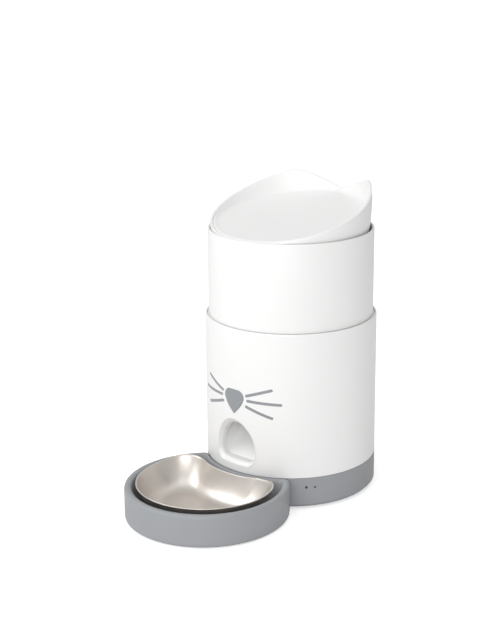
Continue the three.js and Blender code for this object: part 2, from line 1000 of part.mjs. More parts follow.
function food_chute() {
  const top = cup_bottom - chute.cup_gap;
  const front = -(body.radius - outlet.tunnel_depth - gap);
  const low = outlet.mouth_bottom;
  const high = outlet.spring + chute.spring_rise;
  const elbow = cup_bottom - chute.elbow_drop;
  const brow = cup_bottom - chute.brow_drop;
  const inner = [
    [-chute.mouth_back, top + overrun],
    [-chute.mouth_back, elbow],
    [front, low],
    [front - overrun, low],
    [front - overrun, high],
    [front, high],
    [-chute.mouth_front, brow],
    [-chute.mouth_front, top + overrun],
  ];
  const outer = [
    [-chute.mouth_back + chute.wall, top],
    [-chute.mouth_back + chute.wall, elbow - chute.wall],
    [front, low - chute.wall],
    [front, high + chute.wall],
    [-chute.mouth_front - chute.wall, brow + chute.wall],
    [-chute.mouth_front - chute.wall, top],
  ];
  const across = (outline, half) => {
    const raised = prism(outline, -half, half);
    return raised.rotate([90, 0, 90]);
  };
  return cut(across(outer, chute.half_width + chute.wall), across(inner, chute.half_width));
}

// The grey base: a tub with a register ring for the shell, a battery bay, screw wells and board guides

function bay_outline(margin) {
  const half = bay_half_width + margin;
  const front = bay_front - margin;
  const back = bay_front + bay_length + margin;
  return [[-half, front], [half, front], [half, back], [-half, back]];
}

function base_tub() {
  const register_outer = shell_inner - gap;
  const tub = revolve(
    [
      [0, base_bottom],
      [body.radius - base.edge_round, base_bottom],
      [body.radius, base_bottom + base.edge_round],
      [body.radius, body.seam_height],
      [register_outer, body.seam_height],
      [register_outer, body.seam_height + base.register_height],
      [register_outer - base.register_wall, body.seam_height + base.register_height],
      [base_inner - base.register_wall, body.seam_height - base.register_wall],
      [base_inner, body.seam_height - base.register_wall * 2],
      [base_inner, floor_top],
      [0, floor_top],
    ],
    facets.large,
  );
  const bay = prism(bay_outline(battery.bay_wall), base_bottom, bay_top + battery.bay_wall);
  const wells = screw.angles.map((degrees) => {
    const [x, y] = around(screw_circle, degrees);
    return move(rod(screw.well_radius, floor_top - fuse, body.seam_height, facets.tiny), x, y, 0);
  });
  const guide_x = board_x - board.thickness / 2;
  const guides = [-1, 1].map((side) => {
    const y = side * (board.length / 2 - board.guide_inset);
    const half = board.guide_width / 2;
    const reach = board.guide_wall + board.thickness / 2 + gap;
    const [left, right] = [board_x - reach, board_x + reach];
    const post = block(left, right, y - half, y + half, floor_top - fuse, board.guide_height);
    return cut(
      post,
      block(
        guide_x - gap,
        guide_x + board.thickness + gap,
        y - half - overrun,
        y + half + overrun,
        board.bottom - gap,
        board.guide_height + overrun,
      ),
    );
  });
  const indicator_post = turn(
    block(
      -indicator.post_width / 2,
      indicator.post_width / 2,
      -board_circle - indicator.post_depth / 2,
      -board_circle + indicator.post_depth / 2,
      floor_top - fuse,
      indicator_board_bottom - gap,
    ),
    indicator_middle,
  );
  const inlet_post = block(
    -inlet.post_width / 2,
    inlet.post_width / 2,
    inlet_back - inlet.board_length / 2,
    inlet_back + inlet.board_length / 2,
    floor_top - fuse,
    inlet_board_top - inlet.board_thickness - gap,
  );
  const solid_tub = join(tub, bay, ...wells, ...guides, indicator_post, inlet_post);
  const well_cuts = screw.angles.flatMap((degrees) => {
    const [x, y] = around(screw_circle, degrees);
    const head_top = base_bottom + screw.well_depth;
    return [
      move(rod(screw.head_radius + gap, base_bottom - overrun, head_top, facets.tiny), x, y, 0),
      move(rod(screw.shank_radius + gap, base_bottom, body.seam_height + overrun, facets.tiny), x, y, 0),
    ];
  });
  const bay_room = prism(bay_outline(0), base_bottom + battery.door, bay_top);
  const door_top = base_bottom + battery.door + fuse;
  const doorway = prism(bay_outline(-battery.door_ledge), base_bottom - overrun, door_top);
  const door_seat = prism(bay_outline(0), base_bottom - overrun, door_top);
  const slot = block(
    -tray.tongue_half_width - gap,
    tray.tongue_half_width + gap,
    -body.radius - overrun,
    -base_inner + tray.tongue_length,
    tray.tongue_level - gap,
    tray.tongue_level + tray.tongue_height + gap,
  );
  const light_hole = spoke(
    indicator.light_radius + gap / 2,
    base_inner - overrun,
    body.radius + overrun,
    indicator.light_angle,
    indicator.light_height,
  );
  const reset_hole = spoke(
    indicator.reset_radius + gap / 2,
    base_inner - overrun,
    body.radius + overrun,
    indicator.reset_angle,
    indicator.reset_height,
  );
  const half_width = inlet.width / 2 + gap;
  const half_height = inlet.height / 2 + gap;
  const inlet_hole = block(
    -half_width,
    half_width,
    base_inner - overrun,
    body.radius + overrun,
    inlet.level - half_height,
    inlet.level + half_height,
  );
  const cuts = [...well_cuts, bay_room, doorway, door_seat, slot, light_hole, reset_hole, inlet_hole];
  return cut(solid_tub, ...cuts);
}

const indicator_middle = (indicator.light_angle + indicator.reset_angle) / 2;
const indicator_board_bottom = indicator.light_height - indicator.board_height / 2;
const inlet_front = body.radius - inlet.recess;
const inlet_back = inlet_front - inlet.depth;
const inlet_board_top = inlet.level - inlet.height / 2 - gap;

function feet() {
  const corners = ["front_right", "rear_right", "rear_left", "front_left"];
  base.foot_angles.forEach((degrees, i) => {
    const [x, y] = around(foot_circle, degrees);
    const pad = revolve(
      [
        [0, 0],
        [base.foot_radius - base.foot_height / 2, 0],
        [base.foot_radius, base.foot_height / 2],
        [base.foot_radius, base.foot_height],
        [0, base.foot_height],
      ],
      facets.small,
    );
    piece(base_assembly, `foot_${corners[i]}`, move(pad, x, y, 0), "rubber");
  });
}

function screws() {
  screw.angles.forEach((degrees, i) => {
    const [x, y] = around(screw_circle, degrees);
    const seat = base_bottom + screw.well_depth - gap;
    const shape = revolve(
      [
        [0, seat - screw.head_height],
        [screw.head_radius, seat - screw.head_height],
        [screw.head_radius, seat],
        [screw.shank_radius, seat],
        [screw.shank_radius, seat + screw.length],
        [0, seat + screw.length],
      ],
      facets.tiny,
    );
    piece(base_assembly, `base_screw_${i + 1}`, move(shape, x, y, 0), "bright_metal");
  });
}

// The battery door with a sunk finger latch, three cells and their end contacts

function battery_door() {
  const plate = prism(bay_outline(-gap), base_bottom, base_bottom + battery.door);
  const edge = bay_front + gap + battery.latch_depth;
  const pocket = block(
    -battery.latch_width / 2,
    battery.latch_width / 2,
    bay_front,
    edge,
    base_bottom - overrun,
    base_bottom + battery.latch_recess,
  );
  return cut(plate, pocket);
}

function batteries() {
  const start = bay_front + battery.end_room;
  for (let i = 0; i < battery.count; i++) {
    const x = (i - (battery.count - 1) / 2) * cell_pitch;
    const end = cell_length + battery.nub_length;
    const cell = revolve(
      [
        [0, 0],
        [cell_radius, 0],
        [cell_radius, cell_length],
        [battery.nub_radius, cell_length],
        [battery.nub_radius, end],
        [0, end],
      ],
      facets.small,
    );
    const way = i % 2 ? cell.rotate([90, 0, 0]).translate([0, end, 0]) : cell.rotate([-90, 0, 0]);
    piece(base_assembly, `battery_cell_${i + 1}`, move(way, x, start, cell_axis), "cell");
  }
  const half = (cell_pitch * (battery.count - 1)) / 2 + battery.contact_overhang;
  const tall = battery.contact_height / 2;
  const contact = (y) => block(-half, half, y, y + battery.contact, cell_axis - tall, cell_axis + tall);
  const rear = bay_front + bay_length - gap - battery.contact;
  piece(base_assembly, "battery_contact_front", contact(bay_front + gap), "bright_metal");
  piece(base_assembly, "battery_contact_rear", contact(rear), "bright_metal");
}

// The electronics: the main board on edge, the indicator board and the power inlet with its board

function circuit_board() {
  const x = board_x - board.thickness / 2;
  const face = board_x + board.thickness / 2 - fuse / 2;
  const half = board.length / 2;
  const top = board.bottom + board.height;
  const plate = block(x, x + board.thickness, -half, half, board.bottom, top);
  const radio = block(
    face,
    face + board.module_thickness,
    half - board.guide_inset - board.module_width,
    half - board.guide_inset,
    top - board.module_height - board.guide_wall,
    top - board.guide_wall,
  );
  const chip_top = top - board.chip;
  const chip = block(face, face + board.chip_thickness, -board.chip, 0, chip_top - board.chip, chip_top);
  const connectors = [-1, 0].map((i) => {
    const y = i * board.connector_pitch - board.connector / 2;
    const z = board.guide_height + board.guide_wall;
    return block(face, face + board.connector_depth, y, y + board.connector, z, z + board.connector);
  });
  return join(plate, radio, chip, ...connectors);
}

function indicator_board() {
  const circle = board_circle;
  const half = indicator.board_width / 2;
  const front = -circle - indicator.board_thickness / 2;
  const plate = turn(
    block(
      -half,
      half,
      front,
      front + indicator.board_thickness,
      indicator_board_bottom,
      indicator_board_bottom + indicator.board_height,
    ),
    indicator_middle,
  );
  const part = indicator.part_size / 2;
  const chips = [
    [indicator.light_angle, indicator.light_height],
    [indicator.reset_angle, indicator.reset_height],
  ].map(([degrees, height]) => {
    const along = circle * Math.tan(rad(degrees - indicator_middle));
    const chip = block(
      along - part,
      along + part,
      front - indicator.part_depth,
      front + fuse,
      height - part,
      height + part,
    );
    return turn(chip, indicator_middle);
  });
  return join(plate, ...chips);
}

const chip_front = board_circle + indicator.board_thickness / 2 + indicator.part_depth;

function status_light() {
  const inner = chip_front + gap * 2;
  return spoke(indicator.light_radius, inner, body.radius, indicator.light_angle, indicator.light_height);
}

function reset_button() {
  const inner = chip_front + indicator.travel + gap * 2;
  const outer = body.radius - indicator.reset_recess;
  return spoke(indicator.reset_radius, inner, outer, indicator.reset_angle, indicator.reset_height);
}

function power_inlet() {
  const half_width = inlet.width / 2;
  const half_height = inlet.height / 2;
  const can = block(-half_width, half_width, inlet_back, inlet_front, -half_height, half_height);
  const room = block(
    -half_width + inlet.wall,
    half_width - inlet.wall,
    inlet_front - inlet.socket_depth,
    inlet_front + overrun,
    -half_height + inlet.wall,
    half_height - inlet.wall,
  );
  const tongue = block(
    -half_width + inlet.tongue_inset,
    half_width - inlet.tongue_inset,
    inlet_front - inlet.socket_depth - fuse,
    inlet_front - inlet.tongue_inset,
    -inlet.tongue / 2,
    inlet.tongue / 2,
  );
  return move(join(cut(can, room), tongue), 0, 0, inlet.level);
}

function inlet_board() {
  const half = inlet.board_width / 2;
  const back = inlet_back - inlet.board_length / 2;
  const front = Math.min(back + inlet.board_length, base_inner - gap * 2);
  return block(-half, half, back, front, inlet_board_top - inlet.board_thickness, inlet_board_top);
}

// Gears with involute flanks. A tooth stands at the angle given.

function gear_outline(teeth, first, backlash) {
  const pitch = (drive.module * teeth) / 2;
  const pressure = rad(drive.pressure_angle);
  const base_circle = pitch * Math.cos(pressure);
  const tip = pitch + drive.module * drive.addendum_share;
  const root = pitch - drive.module * drive.dedendum_share;
  const involute = (angle) => Math.tan(angle) - angle;
  const half = (radius) => {
    const angle = Math.acos(Math.min(1, base_circle / Math.max(radius, base_circle)));
    return Math.PI / (2 * teeth) - backlash / (2 * pitch) + involute(pressure) - involute(angle);
  };
  const flank = [root, pitch, tip];
  const points = [];
  for (let i = 0; i < teeth; i++) {
    const middle = rad(first) + (2 * Math.PI * i) / teeth;
    for (const radius of flank) points.push([radius, middle - half(radius)]);
    for (const radius of [...flank].reverse()) points.push([radius, middle + half(radius)]);
  }
  return points.map(([radius, angle]) => [radius * Math.cos(angle), radius * Math.sin(angle)]);
}

// The drive gear, with its journal below and the driving dog that stands up into the rotor

function cross(arm, width, bottom, top) {
  const [long, short] = [arm / 2, width / 2];
  const bar = block(-long, long, -short, short, bottom, top);
  return join(bar, block(-short, short, -long, long, bottom, top));
}

const socket_top = cup_bottom - rotor.boss_length + gap + rotor.socket_depth;
const cover_top = frame_top + gap + gearbox.cover_height;

function drive_gear() {
  const top = gear_bottom + drive.gear_height;
  const wheel = prism(gear_outline(drive.gear_teeth, 90, drive.backlash), gear_bottom, top);
  const shoulder = cover_top + gap * 2;
  const journal = rod(drive.journal_radius, frame_bottom, gear_bottom + fuse, facets.small);
  const shaft = rod(drive.shaft_radius, top - fuse, shoulder, facets.small);
  const dog = cross(drive.dog_arm, drive.dog_width, shoulder - fuse, socket_top - gap * 2);
  return join(wheel, journal, shaft, dog);
}

function motor_pinion() {
  const bottom = gear_bottom - drive.pinion_overhang;
  const top = gear_bottom + drive.gear_height + drive.pinion_overhang;
  const first = 270 + 180 / drive.pinion_teeth;
  const wheel = prism(gear_outline(drive.pinion_teeth, first, drive.backlash), bottom, top);
  const end = bottom - drive.pinion_shaft_length;
  const shaft = rod(drive.pinion_shaft_radius, end, bottom + fuse, facets.tiny);
  return move(join(wheel, shaft), 0, pinion_y, 0);
}

// An outline round both gears, at a distance outside their tips
function train_outline(margin) {
  const tip = drive.module * drive.addendum_share;
  const [large, small] = [gear_radius + tip + margin, pinion_radius + tip + margin];
  const lean = Math.asin((large - small) / pinion_y);
  const points = [];
  const steps = 12;
  for (let i = 0; i <= steps; i++) {
    const angle = Math.PI - lean + ((Math.PI + 2 * lean) * i) / steps;
    points.push([large * Math.cos(angle), large * Math.sin(angle)]);
  }
  for (let i = 0; i <= steps; i++) {
    const angle = lean + ((Math.PI - 2 * lean) * i) / steps;
    points.push([small * Math.cos(angle), pinion_y + small * Math.sin(angle)]);
  }
  return points;
}

function gearbox_cover() {
  const bottom = frame_top + gap;
  const outside = prism(train_outline(gearbox.tooth_room + gearbox.cover_wall), bottom, cover_top);
  const room = prism(train_outline(gearbox.tooth_room), bottom - overrun, cover_top - gearbox.cover_roof);
  const hole = rod(drive.shaft_radius + drive.bearing_gap, bottom, cover_top + overrun, facets.small);
  return cut(outside, room, hole);
}

function gearbox_frame() {
  const half = gearbox.arm_width / 2;
  const plate = prism(train_outline(gearbox.tooth_room + gearbox.cover_wall), frame_bottom, frame_top);
  const cross_arm = block(
    -gearbox.post_x,
    gearbox.post_x,
    gearbox.post_y - half,
    gearbox.post_y + half,
    frame_bottom,
    frame_top,
  );
  const rear_arm = block(-half, half, 0, gearbox.rear_post_y, frame_bottom, frame_top);
  const post = rod(gearbox.post_radius, floor_top + gap, frame_top, facets.tiny);
  const side_posts = [-1, 1].map((side) => move(post, side * gearbox.post_x, gearbox.post_y, 0));
  const rear_post = move(
    rod(gearbox.post_radius, bay_top + battery.bay_wall + gap, frame_top, facets.tiny),
    0,
    gearbox.rear_post_y,
    0,
  );
  const [low, high] = [frame_bottom - overrun, frame_top + overrun];
  const bearing = rod(drive.journal_radius + drive.bearing_gap, low, high, facets.small);
  const shaft_way = move(rod(drive.pinion_shaft_radius * 2, low, high, facets.tiny), 0, pinion_y, 0);
  return cut(join(plate, cross_arm, rear_arm, ...side_posts, rear_post), bearing, shaft_way);
}

function gear_motor() {
  const top = frame_bottom - gap;
  const bottom = bay_top + battery.bay_wall + motor.clearance + motor.cap_height;
  const joint = top - (top - bottom) * motor.head_share;
  const shape = revolve(
    [
      [0, bottom - motor.cap_height],
      [motor.cap_radius, bottom - motor.cap_height],
      [motor.cap_radius, bottom],
      [motor.can_radius, bottom],
      [motor.can_radius, joint],
      [motor.head_radius, joint],
      [motor.head_radius, top],
      [0, top],
    ],
    facets.small,
  );
  const bore = rod(drive.pinion_shaft_radius + gap, top - motor.bore_depth, top + overrun, facets.tiny);
  return move(cut(shape, bore), 0, pinion_y, 0);
}

// The hopper, in its own frame: height 0 is its bottom edge. The neck hangs below it.

function hopper_shell() {
  const inner = hopper_radius - hopper.wall;
  const throat_outer = hopper.throat_radius + hopper.throat_wall;
  const wall = revolve(
    [
      [hopper_radius, 0],
      [hopper_radius, hopper.height - hopper.rim_round],
      [hopper_radius - hopper.rim_round, hopper.height],
      [inner, hopper.height],
      [inner, hopper.funnel_top],
      [hopper.throat_radius, hopper.funnel_bottom],
      [hopper.throat_radius, -hopper.throat_length],
      [throat_outer, -hopper.throat_length],
      [throat_outer, -collar.top + gap],
      [collar.band_radius, -collar.top + gap],
      [hopper.flare_radius, hopper.flare_height],
      [inner, hopper.funnel_top - hopper.funnel_drop],
      [inner, 0],
    ],
    facets.large,
  );
  const ledge_top = hopper.height - lid.sink - gap;
  const ledges = Array.from({ length: hopper.ledge_count }, (_, i) => {
    const middle = hopper.ledge_angle + (360 / hopper.ledge_count) * i;
    return sector(
      inner - hopper.ledge_reach,
      inner + fuse,
      middle - hopper.ledge_half_angle,
      middle + hopper.ledge_half_angle,
      ledge_top - hopper.ledge_height,
      ledge_top,
      4,
    );
  });
  const lugs = slot_angles().map((degrees) =>
    slanted(degrees, throat_outer - fuse, collar.radius - gap, collar.slot_half_angle / 2, gap * 3),
  );
  return join(wall, ...ledges, ...lugs);
}

const slot_angles = () =>
  Array.from({ length: collar.slot_count }, (_, i) => collar.slot_angle + (360 / collar.slot_count) * i);

// A slanting bar round the neck, as high as the slot less a margin at each end. Its lower end lies further
// round than its upper end.
function slanted(first, inner, outer, half, margin) {
  const corner = (radius, height, side) => {
    const share = (-height - collar.slot_top) / (collar.slot_bottom - collar.slot_top);
    const [x, y] = around(radius, first + collar.slot_slant * share + side * half);
    return [x, y, height];
  };
  const ring = (height) => [
    corner(inner, height, -1),
    corner(outer, height, -1),
    corner(outer, height, 1),
    corner(inner, height, 1),
  ];
  return loft([ring(-collar.slot_bottom + margin), ring(-collar.slot_top - margin)]);
}

function neck_collar() {
  const tube_wall = revolve(
    [
      [collar_inner, -collar.top],
      [collar.band_radius, -collar.top],
      [collar.band_radius, -collar.band_bottom],
      [collar.radius, -collar.band_bottom - (collar.band_radius - collar.radius)],
      [collar.radius, -collar.bottom + collar.chamfer],
      [collar.radius - collar.chamfer, -collar.bottom],
      [cup.radius + gap, -collar.bottom],
      [cup.radius + gap, -collar.bottom + collar.floor],
      [collar_inner, -collar.bottom + collar.floor],
    ],
    facets.middle,
  );
  const lugs = [90, 270].map((degrees) => {
    const bottom = -collar.bottom + collar.lug_drop;
    const [from, to] = [degrees - collar.lug_half_angle, degrees + collar.lug_half_angle];
    const reach = collar.radius + collar.lug_reach;
    return sector(collar.radius - fuse, reach, from, to, bottom, bottom + collar.lug_height, 3);
  });
  const slots = slot_angles().map((degrees) =>
    slanted(degrees, hopper.throat_radius, collar.radius + overrun, collar.slot_half_angle, 0),
  );
  return cut(join(tube_wall, ...lugs), ...slots);
}

function rotor_cup() {
  const flange_bottom = -collar.bottom + collar.floor + gap;
  const wall = revolve(
    [
      [0, -cup.bottom],
      [cup.radius, -cup.bottom],
      [cup.radius, flange_bottom],
      [collar_inner - gap, flange_bottom],
      [collar_inner - gap, flange_bottom + cup.flange],
      [cup.radius, flange_bottom + cup.flange],
      [cup.radius, -cup.top],
      [cup_inner, -cup.top],
      [cup_inner, -cup.bottom + cup.floor],
      [0, -cup.bottom + cup.floor],
    ],
    facets.middle,
  );
  const [low, high] = [-cup.bottom - overrun, -cup.bottom + cup.floor + overrun];
  const port = common(
    block(-cup.port_half_width, cup.port_half_width, -cup.port_front, -cup.port_back, low, high),
    rod(cup.port_front, low, high, facets.middle),
  );
  const boss_hole = rod(cup.boss_radius, low, high, facets.small);
  return cut(wall, port, boss_hole);
}

// The rotor: a hub with soft paddles, a boss through the cup's floor and a spindle for the agitator

function feed_rotor() {
  const floor = -cup.bottom + cup.floor + gap;
  const hub_top = -rotor.top + rotor.hub_rise;
  const hub = rod(rotor.hub_radius, floor, hub_top, facets.small);
  const boss = rod(cup.boss_radius - gap, -cup.bottom - rotor.boss_length + gap, floor + fuse, facets.small);
  const spindle = rod(rotor.spindle_radius, hub_top - fuse, hub_top + rotor.spindle_length, facets.small);
  const paddles = Array.from({ length: rotor.paddle_count }, (_, i) =>
    turn(
      block(
        -rotor.paddle_thickness / 2,
        rotor.paddle_thickness / 2,
        -cup_inner + rotor.tip_gap,
        -rotor.hub_radius + fuse * 2,
        floor,
        -rotor.top,
      ),
      rotor.paddle_first + (360 / rotor.paddle_count) * i,
    ),
  );
  const bottom = -cup.bottom - rotor.boss_length + gap;
  const socket = cross(rotor.socket_arm, rotor.socket_slot, bottom - overrun, bottom + rotor.socket_depth);
  return cut(join(hub, boss, spindle, ...paddles), socket);
}

function scraper_plate() {
  const bottom = -cup.top + gap;
  const half = scraper.half_angle;
  const plate = sector(0, cup.radius, -half, half, bottom, bottom + scraper.plate, 12);
  const hub = rod(scraper.hub_radius, bottom, bottom + scraper.plate, facets.small);
  const lips = [-1, 1].map((side) =>
    turn(
      block(
        -scraper.lip_width / 2,
        scraper.lip_width / 2,
        -cup_inner + rotor.tip_gap,
        -rotor.hub_radius - gap * 2,
        bottom - scraper.lip_height,
        bottom + scraper.plate / 2,
      ),
      side * (half - scraper.lip_inset),
    ),
  );
  const hole = rod(rotor.spindle_radius + gap * 2, bottom - overrun, bottom + overrun, facets.small);
  return cut(join(plate, hub, ...lips), hole);
}

function agitator_arms() {
  const bottom = -cup.top + gap + scraper.plate + gap * 2;
  const hub = rod(agitator.hub_radius, bottom, bottom + agitator.hub_height, facets.small);
  const half = agitator.arm_width / 2;
  const arm_bottom = bottom + agitator.hub_height - agitator.arm_height;
  const arms = [0, 180].map((degrees) => {
    const bar = block(-half, half, -agitator.arm_length, 0, arm_bottom, arm_bottom + agitator.arm_height);
    const prong = block(
      -agitator.prong_width / 2,
      agitator.prong_width / 2,
      -agitator.arm_length,
      -agitator.arm_length + agitator.prong_width,
      arm_bottom,
      arm_bottom + agitator.prong_height,
    );
    return turn(join(bar, prong), degrees + agitator.turn);
  });
  const top = bottom + agitator.hub_height;
  const bore = rod(rotor.spindle_radius + gap, bottom - overrun, top + overrun, facets.small);
  return cut(join(hub, ...arms), bore);
}

// The lid, in its own frame: height 0 is its bottom edge

// How high the swept rim stands above the lid's sloping floor at an angle from the front.
function ear_height(degrees) {
  const side = Math.abs(degrees);
  const climb = (side - lid.ear_from) / (lid.ear_peak - lid.ear_from);
  const rise = THREE.MathUtils.clamp(climb, 0, lid.rise_end_share);
  const up = lid.ear_rise * Math.pow(rise, lid.rise_power);
  const fall = THREE.MathUtils.clamp((side - lid.ear_peak) / (180 - lid.ear_peak), lid.fall_start_share, 1);
  const bend = Math.sign(fall) * Math.pow(Math.abs(fall), lid.fall_power);
  const down = lid.ear_rise - (lid.ear_rise - lid.ear_valley) * bend;
  const smooth = lid.ear_round;
  return Math.max(0, -smooth * Math.log(Math.exp(-up / smooth) + Math.exp(-down / smooth)));
}

// One ring of the lid's skin. The height function is given the heights of the floor, the rim and the ear.
function lid_rim_ring(radius, height) {
  const ring = [];
  for (let i = 0; i < facets.large; i++) {
    const degrees = (360 * i) / facets.large - 180;
    const [x, y] = around(radius, degrees);
    const floor = lid.centre_rise + lid.slope_share * y;
    const [, rim_y] = around(lid_radius - lid.crest_inset, degrees);
    const ear = ear_height(degrees);
    const rim = lid.centre_rise + lid.slope_share * rim_y + lid.lip + ear;
    ring.push([x, y, height(floor, rim, ear)]);
  }
  return ring;
}

function lid_shell() {
  const skirt = lid_edge - lid.edge_width;
  const crest = lid_radius - lid.crest_inset;
  const foot = crest - lid.crest_width;
  const swell = lid_radius - lid.edge_inset * lid.swell_share;
  return loft([
    lid_rim_ring(lid.core_radius, (floor) => floor - lid.plate),
    lid_rim_ring(lid_floor, (floor) => floor - lid.plate),
    lid_rim_ring(skirt, (floor) => Math.max(floor - lid.plate - lid.crest_inset, lid.lip)),
    lid_rim_ring(skirt, () => 0),
    lid_rim_ring(lid_edge, () => 0),
    lid_rim_ring(swell, (floor, rim) => rim * lid.swell_height_share),
    lid_rim_ring(lid_radius, (floor, rim) => rim * lid.side_height_share),
    lid_rim_ring(
      lid_radius - lid.crest_inset * lid.shoulder_share,
      (floor, rim) => rim - lid.crest_inset * lid.shoulder_drop_share,
    ),
    lid_rim_ring(crest, (floor, rim) => rim),
    lid_rim_ring(foot, (floor, rim) => rim - lid.lip * lid.inner_drop_share),
    lid_rim_ring(
      foot - lid.cove * lid.cove_share,
      (floor, rim, ear) => floor + ear * lid.cove_ear_share + lid.lip * lid.cove_lip_share,
    ),
    lid_rim_ring(foot - lid.cove, (floor, rim, ear) => floor + ear * lid.foot_ear_share),
    lid_rim_ring(lid_floor, (floor) => floor),
    lid_rim_ring(lid.core_radius, (floor) => floor),
  ]);
}

// The grey locking ring hangs below the lid's edge from a collar inside the skirt
function lid_lock_ring() {
  const inner = lid_ring_radius - lid_ring.wall;
  const skirt = lid_edge - lid.edge_width - gap;
  const ring = revolve(
    [
      [inner - lid_ring.wall, -lid_ring.height],
      [lid_ring_radius, -lid_ring.height],
      [lid_ring_radius, -gap],
      [skirt, -gap],
      [skirt, lid_ring.collar_height],
      [inner - lid_ring.wall, lid_ring.collar_height],
    ],
    facets.large,
  );
  const lugs = Array.from({ length: lid_ring.lug_count }, (_, i) => {
    const middle = lid_ring.lug_angle + (360 / lid_ring.lug_count) * i;
    return sector(
      lid_ring_radius - fuse,
      lid_ring_radius + lid_ring.lug_reach,
      middle - lid_ring.lug_half_angle,
      middle + lid_ring.lug_half_angle,
      -lid_ring.height,
      -lid_ring.height + lid_ring.lug_height,
      4,
    );
  });
  return join(ring, ...lugs);
}

// The tray, in its own frame: its centre stands in front of the body, whose wall bites into its back

// Points of an arc, without its last one.
function arc(x, y, radius, from, to, steps) {
  return Array.from({ length: steps }, (_, i) => {
    const angle = from + ((to - from) * i) / steps;
    return [x + radius * Math.cos(angle), y + radius * Math.sin(angle)];
  });
}

// A ring round the tray's centre that is cut short by an arc round the body's axis, with rounded corners.
// A corner's circle touches the ring from inside and the arc from outside. Each point's height is worked
// out from its distance to the nearer corner.
function bitten_ring(radius, bite, corner, height, front_steps = 36, back_steps = 14, corner_steps = 4) {
  const [short, long] = [radius - corner, bite + corner];
  const y = (short * short - long * long + tray_distance * tray_distance) / (2 * tray_distance);
  const x = Math.sqrt(Math.max(short * short - y * y, 0));
  const side = Math.atan2(y, x);
  const back = Math.atan2(tray_distance - y, x);
  const middle = (Math.PI - back + side) / 2;
  const [tip_x, tip_y] = [x + corner * Math.cos(middle), y + corner * Math.sin(middle)];
  const ring = [
    ...arc(0, 0, radius, side, -Math.PI - side, front_steps),
    ...arc(-x, y, corner, Math.PI - side, back, corner_steps),
    ...arc(0, tray_distance, bite, -Math.PI + back, -back, back_steps),
    ...arc(x, y, corner, Math.PI - back, side, corner_steps),
  ];
  return ring.reverse().map(([px, py]) => [px, py, height(Math.hypot(Math.abs(px) - tip_x, py - tip_y))]);
}

function tray_shell() {
  const bite = body.radius + gap;
  const level = (height) => () => height;
  const top = tray.height;
  const round = tray.edge_round;
  const floor = tray_bottom + tray.floor;
  const [rim, rear] = [tray.rim_width, tray.rear_rim];
  const [rim_round, rear_round] = tray.shoulder_shares;
  const wall_heights = [tray.wall_slope, floor + tray.rim_drop, floor];
  const rings = [
    [round, round, tray_bottom],
    [0, 0, tray_bottom + round],
    ...tray.rim_shares.map(([inset, back, drop]) => [round * inset, round * back, top - round * drop]),
    [rim - round * rim_round, rear - round * rear_round, top],
    [rim, rear, top - tray.rim_drop],
    ...tray.wall_shares.map(([inset, back], i) => [
      rim + tray.wall_step * inset,
      rear + tray.wall_step * back,
      wall_heights[i],
    ]),
  ];
  const corner = tray.corner_round;
  const skin = rings.map(([inset, back, height]) =>
    bitten_ring(tray.radius - inset, bite + back, corner, level(height)),
  );
  const tongue = block(
    -tray.tongue_half_width,
    tray.tongue_half_width,
    tray.reach - tray.rear_rim,
    tray.reach + tray.tongue_length,
    tray.tongue_level,
    tray.tongue_level + tray.tongue_height,
  );
  const seat_inner = tray.seat_radius - tray.seat_wall;
  const seat = tube(seat_inner, tray.seat_radius, floor - fuse, floor + tray.seat_height);
  return join(loft(skin), tongue, seat);
}

function tray_pads() {
  const circle = tray.radius * tray.pad_circle_share;
  const pad = rod(tray.pad_radius, 0, tray.pad_height, facets.small);
  for (const [name, degrees] of Object.entries(tray.pad_angles)) {
    const [x, y] = around(circle, degrees);
    piece(tray_assembly, `tray_pad_${name}`, move(pad, x, y, 0), "rubber");
  }
}

// The bowl: thin steel with an ear at each end of the arc that faces the body

function bowl_dish() {
  const floor = tray_bottom + tray.floor + tray.seat_height + gap;
  const bite = body.radius + bowl.body_gap;
  const ear = (distance) => bowl.ear_rise * Math.exp(-Math.pow(distance / bowl.ear_spread, 2));
  const ring = (inset, back, height, ear_share) =>
    bitten_ring(
      bowl.radius - inset,
      bite + back,
      bowl.corner_round - inset * bowl.corner_share,
      (distance) => floor + height + ear(distance) * ear_share,
      32,
      12,
    );
  const skin = (offset) =>
    bowl.wall_shares.map(([inset_share, height_share, ear_share]) => {
      const inset = bowl.floor_inset * inset_share;
      const back = inset * bowl.back_share + offset;
      return ring(inset + offset, back, bowl.depth * height_share + offset, ear_share);
    });
  const bead = ring(-bowl.bead, -bowl.bead, bowl.depth + bowl.bead / 2, 1);
  return loft([...skin(0).reverse(), bead, ...skin(bowl.thickness)]);
}

// Every piece in its place

piece(base_assembly, "outer_shell", outer_shell(), "white");
piece(base_assembly, "top_deck", top_deck(), "white");
piece(base_assembly, "outlet_bezel", outlet_bezel(), "white");
piece(base_assembly, "food_chute", food_chute(), "acetal");
piece(base_assembly, "base_tub", base_tub(), "grey");
feet();
screws();
piece(base_assembly, "battery_door", battery_door(), "grey");
batteries();
piece(base_assembly, "circuit_board", circuit_board(), "circuit");
piece(base_assembly, "indicator_board", indicator_board(), "circuit");
piece(base_assembly, "status_light", status_light(), "lens");
piece(base_assembly, "reset_button", reset_button(), "rubber");
piece(base_assembly, "power_inlet", power_inlet(), "bright_metal");
piece(base_assembly, "inlet_board", inlet_board(), "circuit");
piece(base_assembly, "nose_button", nose_button(), "mid_grey");
piece(base_assembly, "nose_switch", nose_switch_board(), "circuit");
whiskers();
piece(base_assembly, "gearbox_frame", gearbox_frame(), "acetal");
piece(base_assembly, "gearbox_cover", gearbox_cover(), "acetal");
piece(base_assembly, "gear_motor", gear_motor(), "bright_metal");
piece(base_assembly, "drive_gear", drive_gear(), "acetal");
piece(base_assembly, "motor_pinion", motor_pinion(), "acetal");
